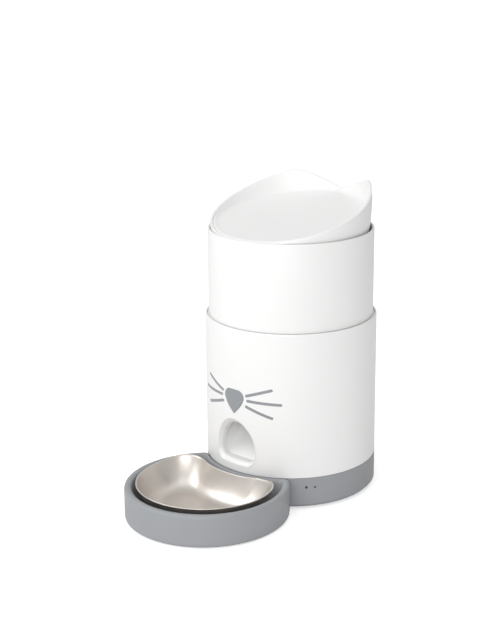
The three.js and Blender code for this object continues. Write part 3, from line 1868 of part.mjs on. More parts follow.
piece(hopper_assembly, "hopper_shell", hopper_shell(), "white");
piece(hopper_assembly, "neck_collar", neck_collar(), "white");
piece(hopper_assembly, "rotor_cup", rotor_cup(), "white");
piece(hopper_assembly, "feed_rotor", feed_rotor(), "silicone");
piece(hopper_assembly, "scraper_plate", scraper_plate(), "white");
piece(hopper_assembly, "agitator", agitator_arms(), "acetal");
piece(lid_assembly, "lid_shell", lid_shell(), "white");
piece(lid_assembly, "lid_ring", lid_lock_ring(), "grey");
piece(tray_assembly, "tray", tray_shell(), "grey");
tray_pads();
piece(tray_assembly, "bowl", bowl_dish(), "steel");

export default feeder;
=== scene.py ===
"""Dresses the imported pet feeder: fine skins, finishes, a plain studio and the camera.

Until a mesh is made, lengths are millimetres in the feeder's own frame: the body's axis is the origin, +Z is up and
the front is towards -Y. Angles are degrees seen from above: 0 is the front and 90 is +X.
"""

import logging
import math
from collections.abc import Iterable
from dataclasses import dataclass
from enum import Enum

import bpy
import numpy as np
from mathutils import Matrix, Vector


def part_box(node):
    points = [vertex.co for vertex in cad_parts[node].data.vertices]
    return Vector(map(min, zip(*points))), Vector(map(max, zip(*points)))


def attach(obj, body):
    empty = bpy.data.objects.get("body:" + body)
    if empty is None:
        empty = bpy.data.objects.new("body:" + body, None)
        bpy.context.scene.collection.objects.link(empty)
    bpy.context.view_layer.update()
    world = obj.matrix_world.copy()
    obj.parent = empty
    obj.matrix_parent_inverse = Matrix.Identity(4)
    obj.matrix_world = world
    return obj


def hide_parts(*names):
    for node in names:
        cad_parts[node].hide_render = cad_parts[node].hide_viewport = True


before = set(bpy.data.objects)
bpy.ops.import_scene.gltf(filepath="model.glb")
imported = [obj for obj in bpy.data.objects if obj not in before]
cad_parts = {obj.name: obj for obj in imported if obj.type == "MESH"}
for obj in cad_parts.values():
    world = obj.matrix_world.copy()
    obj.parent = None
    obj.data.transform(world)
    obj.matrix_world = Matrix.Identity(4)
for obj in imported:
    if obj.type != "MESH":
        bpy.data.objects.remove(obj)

Array = np.ndarray
Colour = tuple[float, float, float]

MILLIMETRE = 0.001
TURN = 360.0
SHARP = 35.0
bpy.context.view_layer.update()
REPORT = logging.getLogger("feeder")


class Body(Enum):
    """The moving bodies that a piece can ride on."""

    HOUSING = "housing"
    HOPPER = "hopper"
    ROTOR = "rotor"
    GEAR = "gear"
    PINION = "pinion"
    LID = "lid"
    TRAY = "tray"
    BOWL = "bowl"
    NOSE = "nose"
    RESET = "reset"
    DOOR = "door"


class Slot(Enum):
    """The record's material slots."""

    WHITE = "white_plastic"
    GREY = "grey_plastic"
    LIGHT_GREY = "light_grey_plastic"
    STEEL = "bowl_steel"
    METAL = "bright_metal"
    RUBBER = "rubber"
    SILICONE = "silicone"
    ACETAL = "acetal"
    CIRCUIT = "circuit"
    LENS = "lens"
    CELL = "cell"


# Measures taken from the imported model

HOUSE_LOW, HOUSE_HIGH = (np.array(corner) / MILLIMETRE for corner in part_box("outer_shell"))
AXIS = np.array([0.0, (HOUSE_LOW[1] + HOUSE_HIGH[1]) / 2, 0.0])


def box_of(node: str) -> tuple[Array, Array]:
    """Give a CAD node's lowest and highest corners in millimetres in the feeder's own frame."""
    low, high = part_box(node)
    return np.array(low) / MILLIMETRE - AXIS, np.array(high) / MILLIMETRE - AXIS


# How far in front of the body's axis the middle of the tray and the bowl lies
TRAY_DISTANCE = 142.0


# Shapes


def on_axis(radius: Array, degrees: Array, height: Array) -> Array:
    """Place points round the body's axis: x = r sin a, y = -r cos a, z = height.

    Args:
        radius: distances from the axis.
        degrees: angles from the front.
        height: heights.

    Returns:
        The points, with the three broadcast against each other.
    """
    radius, degrees, height = np.broadcast_arrays(radius, degrees, height)
    angle = np.radians(degrees)
    return np.stack([radius * np.sin(angle), -radius * np.cos(angle), height], -1)


def softened(corners: Array, radii: Array, steps: int = 4) -> Array:
    """Round the corners of a closed outline.

    A corner C gives way to the parabola B(t) = (1-t)^2 P + 2t(1-t) C + t^2 Q, where P and Q lie a radius away from
    C along its two edges, or half an edge away where the edge is short.

    Args:
        corners: the sharp outline, in order.
        radii: how far from each corner the rounding starts.
        steps: spans in each rounded corner.

    Returns:
        The outline's points, without doubles.
    """
    corners = np.asarray(corners, float)
    radii = np.broadcast_to(np.asarray(radii, float), len(corners))
    before, after = np.roll(corners, 1, 0) - corners, np.roll(corners, -1, 0) - corners
    behind, ahead = np.linalg.norm(before, axis=1), np.linalg.norm(after, axis=1)
    start = corners + before * (np.minimum(radii, behind / 2) / behind)[:, None]
    end = corners + after * (np.minimum(radii, ahead / 2) / ahead)[:, None]
    t = np.linspace(0, 1, steps + 1)[None, :, None]
    curve = (1 - t) ** 2 * start[:, None] + 2 * t * (1 - t) * corners[:, None] + t**2 * end[:, None]
    points = curve.reshape(-1, corners.shape[1])
    apart = np.linalg.norm(points - np.roll(points, 1, 0), axis=1) > 1e-4
    return points[apart]


def rounded(corners: Array, radii: Array, steps: int = 8) -> Array:
    """Round the corners of a closed outline by circle arcs.

    Where the edges at a corner C meet at the angle 2h, the arc's middle lies r / sin h from C between the two edges,
    and the arc turns evenly from where it touches the one edge to where it touches the other.

    Args:
        corners: the sharp outline, in order.
        radii: each corner's radius.
        steps: spans in each arc.

    Returns:
        The outline's points.
    """
    before, after = (np.roll(corners, step, 0) - corners for step in (1, -1))
    before, after = (side / np.linalg.norm(side, axis=1)[:, None] for side in (before, after))
    half = np.arccos(np.clip((before * after).sum(1), -1, 1)) / 2
    between = before + after
    middle = corners + between * (radii / np.sin(half) / np.linalg.norm(between, axis=1))[:, None]
    reach = (radii / np.tan(half))[:, None]
    start, end = (corners + side * reach - middle for side in (before, after))
    sweep = np.arctan2(start[:, 0] * end[:, 1] - start[:, 1] * end[:, 0], (start * end).sum(1))
    turn = sweep[:, None] * np.linspace(0, 1, steps + 1)
    x = middle[:, :1] + start[:, :1] * np.cos(turn) - start[:, 1:] * np.sin(turn)
    y = middle[:, 1:] + start[:, :1] * np.sin(turn) + start[:, 1:] * np.cos(turn)
    return np.stack([x, y], -1).reshape(-1, 2)


def spaced(outline: Array, count: int) -> Array:
    """Share points out evenly along a closed outline.

    Args:
        outline: the outline's points.
        count: how many points to return.

    Returns:
        Points at equal steps of the length walked along the outline, from its first point.
    """
    closed = np.vstack([outline, outline[:1]])
    walked = np.concatenate([[0], np.cumsum(np.linalg.norm(np.diff(closed, axis=0), axis=1))])
    at = np.linspace(0, walked[-1], count, endpoint=False)
    return np.stack([np.interp(at, walked, closed[:, k]) for k in range(closed.shape[1])], -1)


def flowing(stations: Array, steps: int) -> Array:
    """Carry a smooth curve through stations, column by column.

    Between stations P1 and P2 it is the cubic 0.5 (2 P1 + (P2 - P0) t + (2 P0 - 5 P1 + 4 P2 - P3) t^2
    + (3 P1 - P0 - 3 P2 + P3) t^3). A station given twice makes a crease.

    Args:
        stations: an array whose first axis runs along the curve.
        steps: spans between two stations.

    Returns:
        The finer array, from the first station to the last.
    """
    stations = np.asarray(stations, float)
    around = np.concatenate([stations[:1], stations, stations[-1:]])
    p0, p1, p2, p3 = around[:-3], around[1:-2], around[2:-1], around[3:]
    t = (np.arange(steps) / steps).reshape(1, steps, *[1] * (stations.ndim - 1))
    p0, p1, p2, p3 = (p[:, None] for p in (p0, p1, p2, p3))
    bend = 2 * p0 - 5 * p1 + 4 * p2 - p3
    twist = 3 * p1 - p0 - 3 * p2 + p3
    curve = 0.5 * (2 * p1 + (p2 - p0) * t + bend * t**2 + twist * t**3)
    fine = curve.reshape(-1, *stations.shape[1:])
    return np.concatenate([fine, stations[-1:]])


def turned(profile: Array, columns: int = 256) -> Array:
    """Carry [radius, height] points round the body's axis, in a grid whose rows follow the profile."""
    angles = np.arange(columns) * (TURN / columns)
    return on_axis(profile[:, :1], angles[None], profile[:, 1:])


def raised(outline: Array, heights: Array, insets: Array) -> Array:
    """Raise an outline in plan, drawn in towards its middle by an inset at each height.

    Args:
        outline: [x, y] points.
        heights: the height of each ring.
        insets: how far each ring lies inside the outline.

    Returns:
        A grid of rings.
    """
    middle = outline.mean(0)
    reach = np.linalg.norm(outline - middle, axis=1)[None, :, None]
    share = 1 - np.asarray(insets, float)[:, None, None] / reach
    flat = middle + (outline - middle)[None] * share
    lift = np.broadcast_to(np.asarray(heights, float)[:, None, None], (*flat.shape[:2], 1))
    return np.concatenate([flat, lift], -1)


class Skin:
    """Gathers closed surfaces into one mesh."""

    def __init__(self) -> None:
        """Start with nothing."""
        self.points: list[Array] = []
        self.faces: list[list[int]] = []
        self.count = 0

    def close(self, points: Array, quads: Array, triangles: Array) -> "Skin":
        """Add one closed surface and turn it outwards.

        The sign of its volume, the sum of a . (b x c) over its triangles, says which way it faces.

        Args:
            points: the surface's points.
            quads: indices of its four-sided faces.
            triangles: indices of its three-sided faces.

        Returns:
            The skin itself.
        """
        split = np.concatenate([quads[:, [0, 1, 2]], quads[:, [0, 2, 3]], triangles])
        a, b, c = (points[split[:, k]] for k in range(3))
        if np.einsum("ij,ij->i", a, np.cross(b, c)).sum() < 0:
            quads, triangles = quads[:, ::-1], triangles[:, ::-1]
        self.points.append(points)
        self.faces += (quads + self.count).tolist() + (triangles + self.count).tolist()
        self.count += len(points)
        return self

    def loft(self, rings: Array, joined: bool = False) -> "Skin":
        """Join rings by a skin of quads.

        Args:
            rings: a grid of rings with the same number of points.
            joined: whether the last ring goes back to the first. If not, a fan closes each end.

        Returns:
            The skin itself.
        """
        rows, count = rings.shape[:2]
        index = np.arange(rows * count).reshape(rows, count)
        lower, upper = (index, np.roll(index, -1, 0)) if joined else (index[:-1], index[1:])
        quads = np.stack([lower, np.roll(lower, -1, 1), np.roll(upper, -1, 1), upper], -1).reshape(-1, 4)
        points = rings.reshape(-1, 3)
        triangles = np.zeros((0, 3), int)
        if not joined:
            hubs = rows * count + np.arange(2)
            first = np.stack([np.roll(index[0], -1), index[0], np.full(count, hubs[0])], -1)
            last = np.stack([index[-1], np.roll(index[-1], -1), np.full(count, hubs[1])], -1)
            triangles = np.concatenate([first, last])
            points = np.concatenate([points, rings[[0, -1]].mean(1)])
        return self.close(points, quads, triangles)

    def bosses(self, middles: Iterable[float], inner: float, outer: float, half: float, low: float, high: float,
               soft: float) -> "Skin":
        """Add blocks bent round the axis, with their upright and upper edges softened.

        Args:
            middles: the angle of each block's middle.
            inner: their inner radius.
            outer: their outer radius.
            half: half the angle of each.
            low: their lower face.
            high: their upper face.
            soft: the rounding's size.

        Returns:
            The skin itself.
        """
        width = math.radians(half) * outer
        outline = spaced(softened([[-width, inner], [width, inner], [width, outer], [-width, outer]], soft, 5), 72)
        rings = raised(outline, [low, low + soft / 2, high - soft / 2, high], [soft / 2, 0, 0, soft / 2])
        for middle in middles:
            self.loft(on_axis(rings[..., 1], middle + np.degrees(rings[..., 0] / outer), rings[..., 2]))
        return self

    def make(self, name: str, sharp: float = SHARP) -> bpy.types.Object:
        """Make the mesh object, in metres in the row frame.

        Args:
            name: the piece's name.
            sharp: edges that turn more than this many degrees stay sharp.

        Returns:
            The new object, at the origin.
        """
        mesh = bpy.data.meshes.new(name)
        place = (np.concatenate(self.points) + AXIS) * MILLIMETRE
        mesh.from_pydata(place.tolist(), [], self.faces)
        mesh.polygons.foreach_set("use_smooth", np.ones(len(mesh.polygons), bool))
        mesh.set_sharp_from_angle(angle=math.radians(sharp))
        mesh.update()
        thing = bpy.data.objects.new(name, mesh)
        bpy.context.scene.collection.objects.link(thing)
        return thing


class Opening:
    """A hole in a turned wall, with its outline on the unrolled skin."""

    def box(self) -> tuple[Array, Array]:
        """Give the hole's lowest and highest [along, height]."""
        raise NotImplementedError

    def edge(self, ring: Array) -> Array:
        """Give the point of the hole's edge that belongs to each point of a ring round it."""
        raise NotImplementedError


@dataclass(frozen=True)
class RoundedHole(Opening):
    """A box with rounded corners, or a round hole where the corner is half its size."""

    middle: tuple[float, float]
    half: tuple[float, float]
    corner: float

    def box(self) -> tuple[Array, Array]:
        """Give the hole's lowest and highest [along, height]."""
        return np.array(self.middle) - self.half, np.array(self.middle) + self.half

    def edge(self, ring: Array) -> Array:
        """Find the nearest points of the edge.

        A point is clamped into the box less its corner, and the edge lies a corner's radius from there.

        Args:
            ring: [along, height] points outside the hole.

        Returns:
            The edge's point for each.
        """
        low, high = self.box()
        core = np.clip(ring, low + self.corner, high - self.corner)
        away = ring - core
        return core + away * (self.corner / np.linalg.norm(away, axis=1))[:, None]


@dataclass(frozen=True)
class DrawnHole(Opening):
    """A hole with a drawn outline, all of which its middle can see."""

    outline: Array
    margin: float

    def box(self) -> tuple[Array, Array]:
        """Give the hole's lowest and highest [along, height]."""
        return self.outline.min(0) - self.margin, self.outline.max(0) + self.margin

    def edge(self, ring: Array) -> Array:
        """Find where rays from the middle to the ring cross the outline, read off its radius by angle.

        Args:
            ring: [along, height] points outside the hole.

        Returns:
            The edge's point for each.
        """
        middle = (self.outline.min(0) + self.outline.max(0)) / 2
        arm = self.outline - middle
        bearing = np.arctan2(arm[:, 1], arm[:, 0])
        order = np.argsort(bearing)
        way = ring - middle
        heading = np.arctan2(way[:, 1], way[:, 0])
        reach = np.interp(heading, bearing[order], np.hypot(*arm.T)[order], period=2 * math.pi) + self.margin
        return middle + reach[:, None] * np.stack([np.cos(heading), np.sin(heading)], -1)


@dataclass(frozen=True)
class TurnedWall:
    """A round wall with two faces, its holes cut through both.

    The wall is a grid of columns round the axis and stations up one face, over the top, down the other and back.
    Each hole takes out a block of cells in both faces, and rings of points run from the block to the hole's edge.
    """

    outer: float
    inner: float
    heights: Array
    top: Array
    bottom: Array
    holes: tuple[Opening, ...]
    columns: int = 480
    start: float = -98.25
    rings: int = 6
    bevel: float = 0.25
    short: float = 0.02

    def point(self, along: Array, height: Array, radius: Array) -> Array:
        """Wrap unrolled points on a cylinder: the angle is the distance along the outer face / its radius."""
        return on_axis(radius, np.degrees(along / self.outer), height)

    def build(self, skin: Skin) -> Skin:
        """Add the wall to a skin.

        Args:
            skin: what gathers the surfaces.

        Returns:
            The same skin.
        """
        rows, inward = len(self.heights), len(self.top)
        along = np.radians(self.start + np.arange(self.columns) * (TURN / self.columns)) * self.outer
        radius = np.concatenate([
            np.full(rows, self.outer), self.top[:, 0], np.full(rows, self.inner), self.bottom[:, 0],
        ])
        height = np.concatenate([self.heights, self.top[:, 1], self.heights[::-1], self.bottom[:, 1]])
        stations = len(radius)
        points = [self.point(along[None], height[:, None], radius[:, None]).reshape(-1, 3)]
        index = np.arange(stations * self.columns).reshape(stations, self.columns)
        kept = np.ones((stations, self.columns), bool)
        patches, total = [], index.size
        for hole in self.holes:
            low, high = hole.box()
            i0, i1 = np.searchsorted(along, low[0]) - 2, np.searchsorted(along, high[0]) + 1
            j0 = np.searchsorted(self.heights, low[1] - self.bevel) - 1
            j1 = np.searchsorted(self.heights, high[1] + self.bevel)
            kept[j0:j1, i0:i1] = False
            mirror = 2 * rows + inward - 1
            kept[mirror - j1:mirror - j0, i0:i1] = False
            across, up = np.arange(i0, i1 + 1), np.arange(j0, j1 + 1)
            i = np.concatenate([across[:-1], np.full(len(up) - 1, i1), across[:0:-1], np.full(len(up) - 1, i0)])
            j = np.concatenate([np.full(len(across) - 1, j0), up[:-1], np.full(len(across) - 1, j1), up[:0:-1]])
            ring = np.stack([along[i], self.heights[j]], -1)
            edge = hole.edge(ring)
            share = (np.arange(1, self.rings) / self.rings)[:, None, None]
            fan = ring + (edge + (ring - edge) * self.short - ring) * share
            lip = edge + (ring - edge) * (self.bevel / np.linalg.norm(ring - edge, axis=1).clip(self.bevel))[:, None]
            flat = np.concatenate([fan, lip[None], edge[None], edge[None], lip[None], fan[::-1]])
            depth = np.concatenate([
                np.full(self.rings, self.outer),
                [self.outer - self.bevel, self.inner + self.bevel],
                np.full(self.rings, self.inner),
            ])
            fresh = self.point(flat[..., 0], flat[..., 1], depth[:, None])
            made = total + np.arange(fresh.shape[0] * fresh.shape[1]).reshape(fresh.shape[:2])
            loop = np.concatenate([index[j, i][None], made, index[mirror - j, i][None]])
            ahead = np.roll(loop, -1, 1)
            patches.append(np.stack([loop[:-1], loop[1:], ahead[1:], ahead[:-1]], -1).reshape(-1, 4))
            points.append(fresh.reshape(-1, 3))
            total += made.size
        up = np.roll(index, -1, 0)
        cells = np.stack([index, np.roll(index, -1, 1), np.roll(up, -1, 1), up], -1)
        quads = np.concatenate([cells[kept], *patches])
        return skin.close(np.concatenate(points), quads, np.zeros((0, 3), int))


# Shading


class Signal:
    """A shader socket that can be reckoned with: its operators add the nodes that do the sum."""

    def __init__(self, tree: bpy.types.NodeTree, socket: bpy.types.NodeSocket) -> None:
        """Wrap an output socket of a node tree."""
        self.tree = tree
        self.socket = socket

    def node(self, kind: str, inputs: dict, output: str | int = 0, **settings: object) -> "Signal":
        """Add any node of the tree.

        Args:
            kind: the node's type.
            inputs: what goes into each input, by name or number: a signal or a plain value.
            output: the output to give back, by name or number.
            settings: the node's own properties.

        Returns:
            That output.
        """
        made = self.tree.nodes.new(kind)
        for key, value in settings.items():
            setattr(made, key, value)
        for key, value in inputs.items():
            if isinstance(value, Signal):
                self.tree.links.new(value.socket, made.inputs[key])
            else:
                made.inputs[key].default_value = value
        return Signal(self.tree, made.outputs[output])

    def reckon(self, operation: str, first: object, second: object) -> "Signal":
        """Work out a sum with the node that suits the socket: Math, Vector Math or a colour Mix.

        Args:
            operation: ADD, SUBTRACT, MULTIPLY, DIVIDE or POWER.
            first: the left side.
            second: the right side.

        Returns:
            The result.
        """
        if self.socket.type == "VECTOR":
            sides = [s if isinstance(s, (Signal, tuple)) else (s, s, s) for s in (first, second)]
            return self.node("ShaderNodeVectorMath", dict(enumerate(sides)), operation=operation)
        if self.socket.type == "RGBA":
            sides = [s if isinstance(s, Signal) else (s, s, s, 1) if isinstance(s, float) else (*s, 1)
                     for s in (first, second)]
            return self.node("ShaderNodeMix", {0: 1.0, 6: sides[0], 7: sides[1]}, 2,
                             data_type="RGBA", blend_type=operation)
        return self.node("ShaderNodeMath", {0: first, 1: second}, operation=operation)

    def __add__(self, other: object) -> "Signal":
        """Add."""
        return self.reckon("ADD", self, other)

    def __radd__(self, other: object) -> "Signal":
        """Add, from the right."""
        return self.reckon("ADD", other, self)

    def __sub__(self, other: object) -> "Signal":
        """Take away."""
        return self.reckon("SUBTRACT", self, other)

    def __rsub__(self, other: object) -> "Signal":
        """Take away from what stands on the left."""
        return self.reckon("SUBTRACT", other, self)

    def __mul__(self, other: object) -> "Signal":
        """Multiply."""
        return self.reckon("MULTIPLY", self, other)

    def __rmul__(self, other: object) -> "Signal":
        """Multiply, from the right."""
        return self.reckon("MULTIPLY", other, self)

    def __truediv__(self, other: object) -> "Signal":
        """Divide."""
        return self.reckon("DIVIDE", self, other)

    def __rtruediv__(self, other: object) -> "Signal":
        """Divide what stands on the left."""
        return self.reckon("DIVIDE", other, self)

    def __pow__(self, other: object) -> "Signal":
        """Raise a number to a power."""
        return self.reckon("POWER", self, other)

    def between(self, low: float, high: float) -> "Signal":
        """Rise smoothly from 0 at the low value to 1 at the high one."""
        return self.node("ShaderNodeMapRange", {0: self, 1: low, 2: high}, interpolation_type="SMOOTHSTEP")

    def blend(self, first: object, second: object) -> "Signal":
        """Use this number as the share of the second colour over the first."""
        sides = [s if isinstance(s, Signal) else (*s, 1) for s in (first, second)]
        return self.node("ShaderNodeMix", {0: self, 6: sides[0], 7: sides[1]}, 2, data_type="RGBA")


class Paint:
    """A material under construction, with the shader's sockets and the patterns that feed them."""

    def __init__(self, name: str) -> None:
        """Start a material that has only the principled shader.

        Args:
            name: the material's name.
        """
        self.material = bpy.data.materials.new(name)
        self.material.use_nodes = True
        self.tree = self.material.node_tree
        self.shader = next(n for n in self.tree.nodes if n.type == "BSDF_PRINCIPLED")
        place = self.tree.nodes.new("ShaderNodeTexCoord")
        self.place = Signal(self.tree, place.outputs["Object"])
        self.relief: Signal | None = None

    def set(self, **values: object) -> "Paint":
        """Set the shader's sockets: a signal is linked and a plain value is written on the socket.

        Args:
            values: sockets by name, with _ for a space.

        Returns:
            The paint itself.
        """
        for key, value in values.items():
            socket = self.shader.inputs[key.replace("_", " ")]
            if isinstance(value, Signal):
                self.tree.links.new(value.socket, socket)
            else:
                socket.default_value = (*value, 1) if isinstance(value, tuple) else value
        return self

    def stretched(self, scale: tuple[float, float, float]) -> Signal:
        """Scale the place along the three axes, so that a pattern runs long one way."""
        return self.place.node("ShaderNodeMapping", {"Vector": self.place, "Scale": scale})

    def noise(self, size: float, detail: float = 3.0, rough: float = 0.5, at: Signal | None = None) -> Signal:
        """Make a cloud pattern from 0 to 1, with blots of a size in metres, read at a place of its own if given."""
        inputs = {"Vector": at or self.place, "Scale": 1 / size, "Detail": detail, "Roughness": rough}
        return self.place.node("ShaderNodeTexNoise", inputs)

    def cells(self, size: float) -> Signal:
        """Make the distance to the nearest of scattered points a size apart, in metres."""
        return self.place.node("ShaderNodeTexVoronoi", {"Vector": self.place, "Scale": 1 / size}, "Distance")

    def part(self, axis: int) -> Signal:
        """Give one of the place's three parts: 0 is x, 1 is y and 2 is z."""
        return self.place.node("ShaderNodeSeparateXYZ", {0: self.place}, axis)

    def emboss(self, height: Signal, depth: float, strength: float = 1.0) -> "Paint":
        """Add a relief.

        Args:
            height: the pattern's height from 0 to 1.
            depth: what 1 stands for, in metres.
            strength: how much of it shows.

        Returns:
            The paint itself.
        """
        inputs: dict[str, object] = {"Height": height, "Distance": depth, "Strength": strength}
        if self.relief:
            inputs["Normal"] = self.relief
        self.relief = self.place.node("ShaderNodeBump", inputs)
        return self.set(Normal=self.relief)


@dataclass(frozen=True)
class Finish:
    """A look with a name, a colour and a roughness. Each kind of surface puts its own patterns on it."""

    name: str
    colour: Colour
    roughness: float

    def draw(self, paint: Paint) -> None:
        """Put the patterns on a new material.

        Args:
            paint: the material under construction.
        """
        raise NotImplementedError

    def dress(self) -> bpy.types.Material:
        """Make the material."""
        paint = Paint(self.name)
        self.draw(paint)
        return paint.material

    def shaded(self, share: float) -> Colour:
        """Give the colour times a share, and at most 1."""
        return tuple(min(1.0, part * share) for part in self.colour)


@dataclass(frozen=True)
class Plastic(Finish):
    """Moulded plastic: an even colour with faint clouds, a fine mould grain and the marks of handling."""

    grain: float = 0.00035
    depth: float = 0.000012
    clouds: float = 0.03
    cloud_size: float = 0.06
    wear: float = 0.06
    smear_size: float = 0.018
    rub_size: float = 0.0016
    flow_size: float = 0.004
    index: float = 1.48

    def draw(self, paint: Paint) -> None:
        """Put the patterns on a new material.

        Args:
            paint: the material under construction.
        """
        drift = paint.noise(self.cloud_size, 2.0)
        handled = paint.noise(self.smear_size, 4.0, 0.6).between(0.35, 0.75)
        rubbed = paint.noise(self.rub_size, 2.0, 0.6, paint.stretched((1.0, 1.0, 0.25))).between(0.55, 0.8)
        shade = drift * self.clouds + (1 - self.clouds / 2)
        base = shade.node("ShaderNodeMix", {0: 1.0, 6: (*self.colour, 1), 7: shade}, 2,
                          data_type="RGBA", blend_type="MULTIPLY")
        dull = handled * self.wear + rubbed * (self.wear / 3) + (self.roughness - self.wear / 2)
        paint.set(Base_Color=base, Roughness=dull, IOR=self.index)
        paint.emboss(paint.noise(self.grain, 2.0, 0.5), self.depth)
        paint.emboss(paint.noise(self.flow_size, 1.0, 0.4), self.depth * 1.5, 0.6)


@dataclass(frozen=True)
class Spun(Finish):
    """Satin sheet steel, with fine spinning lines round the bowl and a faint haze of use."""

    centre: tuple[float, float]
    pitch: float = 0.00045
    flatten: float = 0.6
    climb: float = 40.0
    haze_size: float = 0.03
    depth: float = 0.000006

    def draw(self, paint: Paint) -> None:
        """Put the patterns on a new material.

        Args:
            paint: the material under construction.
        """
        flat = (paint.place - (*self.centre, 0.0)) * (1.0, 1.0, self.flatten)
        radius = flat.node("ShaderNodeVectorMath", {0: flat}, "Value", operation="LENGTH")
        lines = radius.node("ShaderNodeCombineXYZ", {0: radius * (1 / self.pitch), 1: paint.part(2) * self.climb})
        brushed = lines.node("ShaderNodeTexNoise", {"Vector": lines, "Scale": 1.0, "Detail": 3.0})
        haze = paint.noise(self.haze_size, 4.0, 0.6).between(0.3, 0.8)
        dull = brushed * 0.12 + haze * 0.06 + (self.roughness - 0.09)
        paint.set(Base_Color=haze.blend(self.colour, self.shaded(0.93)), Metallic=1.0, Roughness=dull)
        paint.emboss(brushed, self.depth, 0.8)


@dataclass(frozen=True)
class Metal(Finish):
    """Plated metal with a fine pickle and dull patches."""

    patch_size: float = 0.004
    pickle: float = 0.0003
    depth: float = 0.00001

    def draw(self, paint: Paint) -> None:
        """Put the patterns on a new material.

        Args:
            paint: the material under construction.
        """
        dull = paint.noise(self.patch_size, 4.0, 0.65).between(0.35, 0.75)
        tint = dull.blend(self.colour, self.shaded(0.8))
        paint.set(Base_Color=tint, Metallic=1.0, Roughness=dull * 0.18 + (self.roughness - 0.06))
        paint.emboss(paint.noise(self.pickle, 3.0), self.depth)


@dataclass(frozen=True)
class Rubber(Finish):
    """Matt rubber or silicone with a fine pebble and scattered patches of dust."""

    pebble: float = 0.0006
    depth: float = 0.00003
    dust_size: float = 0.003
    dust: Colour = (0.42, 0.40, 0.37)
    index: float = 1.45

    def draw(self, paint: Paint) -> None:
        """Put the patterns on a new material.

        Args:
            paint: the material under construction.
        """
        dusty = paint.noise(self.dust_size, 4.0, 0.7).between(0.5, 0.8)
        tint = (dusty * 0.35).blend(self.colour, self.dust)
        paint.set(Base_Color=tint, Roughness=dusty * 0.1 + self.roughness, IOR=self.index)
        paint.emboss(paint.cells(self.pebble), self.depth)


@dataclass(frozen=True)
class Circuit(Finish):
    """A lacquered board: woven glass under a green mask, with tracks that stand a little lighter."""

    tracks_per_metre: float = 420.0
    gap: float = 0.12
    weave_size: float = 0.0008
    depth: float = 0.00004

    def draw(self, paint: Paint) -> None:
        """Put the patterns on a new material.

        Args:
            paint: the material under construction.
        """
        black, white = (0, 0, 0, 1), (1, 1, 1, 1)
        inputs = {"Vector": paint.place, "Scale": self.tracks_per_metre, "Mortar Size": self.gap, "Color1": black,
                  "Color2": black, "Mortar": white}
        tracks = paint.place.node("ShaderNodeTexBrick", inputs, "Fac")
        weave = paint.noise(self.weave_size, 1.0)
        tint = (tracks * 0.7 + weave * 0.2).blend(self.colour, self.shaded(1.9))
        paint.set(Base_Color=tint, Roughness=weave * 0.15 + self.roughness, Coat_Weight=0.4, Coat_Roughness=0.15)
        paint.emboss(tracks, self.depth)


@dataclass(frozen=True)
class Sleeve(Finish):
    """A cell's printed sleeve: a dark body with a pale band at its end, and the sheen of shrink film."""

    band: Colour
    edge: float
    edge_soft: float = 0.0004
    edge_wander: float = 0.0006
    ripple_size: float = 0.006
    depth: float = 0.00006

    def draw(self, paint: Paint) -> None:
        """Put the patterns on a new material.

        Args:
            paint: the material under construction.
        """
        ripple = paint.noise(self.ripple_size, 3.0)
        reach = paint.part(1) + ripple * self.edge_wander
        tint = reach.between(self.edge - self.edge_soft, self.edge + self.edge_soft).blend(self.colour, self.band)
        paint.set(Base_Color=tint, Roughness=ripple * 0.12 + self.roughness, Coat_Weight=0.5, Coat_Roughness=0.1)
        paint.emboss(ripple, self.depth, 0.5)


@dataclass(frozen=True)
class Lens(Finish):
    """A smoked window over a lamp that is off, with fine dust on it."""

    dust: Colour = (0.5, 0.5, 0.5)
    dust_size: float = 0.0004
    grain: float = 0.0005
    depth: float = 0.000004

    def draw(self, paint: Paint) -> None:
        """Put the patterns on a new material.

        Args:
            paint: the material under construction.
        """
        dusty = paint.noise(self.dust_size, 3.0).between(0.6, 0.8)
        tint = (dusty * 0.2).blend(self.colour, self.dust)
        paint.set(Base_Color=tint, Roughness=dusty * 0.2 + self.roughness, Coat_Weight=0.8, Coat_Roughness=0.03)
        paint.emboss(paint.noise(self.grain, 2.0), self.depth)


# How far behind the body's axis the pale band of the cells' sleeves starts
BAND_AT = 20.0

FINISHES = {
    Slot.WHITE: Plastic("white_gloss", (0.85, 0.85, 0.845), 0.34, clouds=0.02),
    Slot.GREY: Plastic(
        "grey_satin", (0.31, 0.32, 0.335), 0.46, grain=0.0005, depth=0.00002, clouds=0.06, wear=0.1,
    ),
    Slot.LIGHT_GREY: Plastic(
        "light_grey_satin", (0.285, 0.30, 0.315), 0.42, grain=0.0004, depth=0.000015, clouds=0.05,
    ),
    Slot.STEEL: Spun("bowl_steel", (0.71, 0.668, 0.625), 0.38, (0.0, (AXIS[1] - TRAY_DISTANCE) * MILLIMETRE)),
    Slot.METAL: Metal("plated_metal", (0.72, 0.72, 0.71), 0.28),
    Slot.RUBBER: Rubber("foot_rubber", (0.035, 0.036, 0.038), 0.78),
    Slot.SILICONE: Rubber("paddle_silicone", (0.48, 0.51, 0.53), 0.5, pebble=0.0009),
    Slot.ACETAL: Plastic("natural_acetal", (0.74, 0.72, 0.66), 0.38, clouds=0.05),
    Slot.CIRCUIT: Circuit("circuit_mask", (0.02, 0.13, 0.06), 0.28),
    Slot.LENS: Lens("smoked_lens", (0.02, 0.022, 0.026), 0.08),
    Slot.CELL: Sleeve("cell_sleeve", (0.06, 0.065, 0.075), 0.26, (0.62, 0.55, 0.40), (AXIS[1] + BAND_AT) * MILLIMETRE),
}


